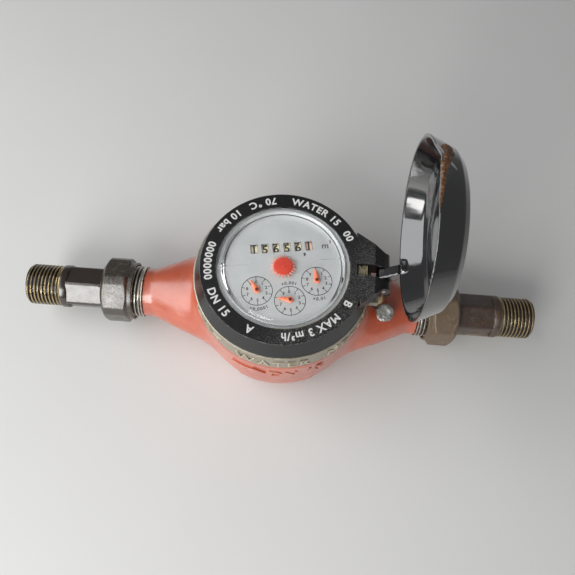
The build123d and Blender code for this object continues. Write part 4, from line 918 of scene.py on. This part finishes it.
def lumpy_strip(track):
    """A crusty bead along a track of (place, outward direction, half width, height)."""
    verts, sides = [], 12
    for n, (place, out, width, height) in enumerate(track):
        ahead = (track[min(n + 1, len(track) - 1)][0] - track[max(n - 1, 0)][0]).normalized()
        across = ahead.cross(out).normalized()
        for k in range(sides):
            a = 2 * math.pi * k / sides
            lump = 1 + 0.55 * noise.noise(place * 900 + Vector((k * 0.9, 0, 3))) + 0.25 * noise.noise(place * 2300)
            verts.append(place + across * (width * lump * math.cos(a)) + out * (height * lump * math.sin(a)))
    return np.array([tuple(v) for v in verts]), capped_grid(len(track), sides)


def make_grime():
    """Old sealant along the lid's rim beside its beak, and dirt in the latch notch and along the window."""
    track = []
    low = RING_TOP + 0.3 * MM
    beak_at, start, sweep = 171, 158, 40
    for share in np.linspace(0, 1, 90):
        a = math.radians(start + sweep * share)
        beak = max(0.0, 1 - abs(math.degrees(a) - beak_at) / 22.0)
        reach = (37.4 + 4.0 * beak) * MM
        rise = (3.6 * (1 - share) ** 1.5 + 0.25 + 0.8 * math.sin(9 * share) * (1 - share)) * MM
        place = Vector(((reach - 0.42 * rise) * math.cos(a), (reach - 0.42 * rise) * math.sin(a), low + rise))
        out = Vector((math.cos(a), math.sin(a), 0.45)).normalized()
        width = (1.75 * (1 - share) ** 0.8 + 0.35) * MM
        track.append((place, out, width, 0.45 * width))
    verts, faces = lumpy_strip(track)
    piece("lid_residue", opened(verts), faces, "lid", "black_plastic", "residue", 50)
    notch = [(Vector((x * MM, HINGE[1], RING_TOP - 2.0 * MM)), Vector((0, 0, 1)), 2.7 * MM, 0.9 * MM)
             for x in np.linspace(34.9, 39.3, 14)]
    bead = []
    for n in range(80):
        a = math.radians(-95 + 100 * n / 79)
        place = Vector((30.95 * math.cos(a), 30.95 * math.sin(a), 0)) * MM + Vector((0, 0, RING_TOP - 0.1 * MM))
        bead.append((place, Vector((0, 0, 1)), 0.16 * MM, 0.14 * MM))
    piece("ring_dirt", *joined([lumpy_strip(notch), lumpy_strip(bead)]), "meter", "black_plastic", "dirt", 50)


# ---- seal ----
def smooth_line(points, steps=14):
    """Points along a Catmull-Rom line."""
    padded = [points[0] * 2 - points[1]] + points + [points[-1] * 2 - points[-2]]
    line = []
    for a, b, c, d in zip(padded, padded[1:], padded[2:], padded[3:]):
        for n in range(steps):
            t = n / steps
            line.append(0.5 * ((2 * b) + (c - a) * t + (2 * a - 5 * b + 4 * c - d) * t * t
                               + (3 * b - a - 3 * c + d) * t ** 3))
    return line + [points[-1]]


def strand(line, offset, radius, pitch, phase, sides=8):
    """A wire that winds around a line."""
    verts, travelled = [], 0.0
    side = Vector((0, 0, 1))
    for n, point in enumerate(line):
        ahead = (line[min(n + 1, len(line) - 1)] - line[max(n - 1, 0)]).normalized()
        side = (side - ahead * side.dot(ahead)).normalized()
        third = ahead.cross(side)
        if n:
            travelled += (point - line[n - 1]).length
        turn = phase + travelled / pitch * 2 * math.pi
        middle = point + offset * (side * math.cos(turn) + third * math.sin(turn))
        for k in range(sides):
            a = k * 2 * math.pi / sides
            verts.append(middle + radius * (side * math.cos(a) + third * math.sin(a)))
    return verts, capped_grid(len(line), sides)


def make_seal():
    """Lead lump with crimped faces, and the twisted wire through screw and lug."""
    low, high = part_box("lead_seal")
    centre = (low + high) / 2
    screw_low, screw_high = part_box("seal_screw")
    sx, sy = (screw_low.x + screw_high.x) / 2, (screw_low.y + screw_high.y) / 2
    hole = screw_high.z - 2.0 * MM
    lug = Vector((44.6 * MM, -7.0 * MM, 45.0 * MM))
    route = [centre + Vector((-1.2, 0.5, 0.2)) * MM, centre + Vector((-4.4, 1.4, 2.6)) * MM,
             lug - Vector((0, 0, 1.4 * MM)), lug + Vector((0, 0, 2 * MM)), lug + Vector((0, 0, 5.2 * MM)),
             lug + Vector((2.2, 1.6, 6.8)) * MM, lug + Vector((5.0, 3.2, 5.6)) * MM,
             Vector((sx + 4.6 * MM, sy - 0.7 * MM, hole + 4 * MM)), Vector((sx + 3.6 * MM, sy, hole)),
             Vector((sx, sy, hole)), Vector((sx - 3.6 * MM, sy, hole)),
             Vector((sx - 4.6 * MM, sy - 4.0 * MM, hole - 0.6 * MM)), centre + Vector((-3.8, 1.3, 0)) * MM,
             centre + Vector((-1.2, -0.7, 0)) * MM]
    line = smooth_line(route)
    pair = [strand(line, 0.24 * MM, 0.24 * MM, 2.2 * MM, phase) for phase in (0.0, math.pi)]
    piece("twisted_wire", *joined(pair), "meter", "wire", crease=60, replaces=("seal_wire",))
    rows, columns = 40, 72
    tilt = Matrix.Rotation(math.radians(24), 3, "X") @ Matrix.Rotation(math.radians(6), 3, "Y")
    verts = []
    for row in range(rows):
        polar = math.pi * (row + 0.5) / rows
        for column in range(columns):
            a = column * 2 * math.pi / columns
            flat = Vector((math.sin(polar) * math.cos(a), math.sin(polar) * math.sin(a), math.cos(polar)))
            wide = abs(math.sin(polar)) ** 0.55
            tall = math.copysign(abs(flat.z) ** 0.6, flat.z)
            spot = Vector((4.35 * wide * math.cos(a), 4.35 * wide * math.sin(a), 1.75 * tall))
            dent = 0.34 * noise.noise(flat * 2.4 + Vector((3, 1, 7))) + 0.16 * noise.noise(flat * 6.5)
            press = -0.30 * math.exp(-((spot.x - 0.5) ** 2 + (spot.y + 0.3) ** 2) / 3.0) * (1 if tall > 0 else 0)
            spot = spot * (1 + 0.32 * dent) + Vector((0, 0, press + 0.5 * dent))
            verts.append(centre + tilt @ spot * MM)
    piece("lead_lump", verts, capped_grid(rows, columns), "meter", "lead", crease=70, replaces=("lead_seal",))


# ---- everything ----
make_camera()
make_stage()
MATERIALS = make_materials()

special = {"roller_1": "pink_cream", "spindle": "spindle_arbor"}
for name in ("arbor_x0_0001", "arbor_x0_001", "arbor_x0_01"):
    special[name] = "pointer_arbor"
slots = {part["node"]: part["material_slot"] for part in frame["record"]["subparts"]}
for name, node in NODES.items():
    node.data.materials.clear()
    node.data.materials.append(MATERIALS[special.get(name, slots[name])])

for end, side, turn, tail in (("inlet", -1, 15.6, "tail_left"), ("outlet", 1, 0.0, "tail_right")):
    make_tailpiece(end, side, turn, tail)
    make_body_thread(end, side)
make_nut("inlet", -1, 5.0, 16.4 * MM, "dark_brass")
make_nut("outlet", 1, 0.0, 17.2 * MM, "bronze_brass")
make_casting()
make_words()
make_dial_print()
make_roller_digits()
make_star()
make_pointers()
make_window()
make_rims()
make_lid()
make_grime()
make_seal()
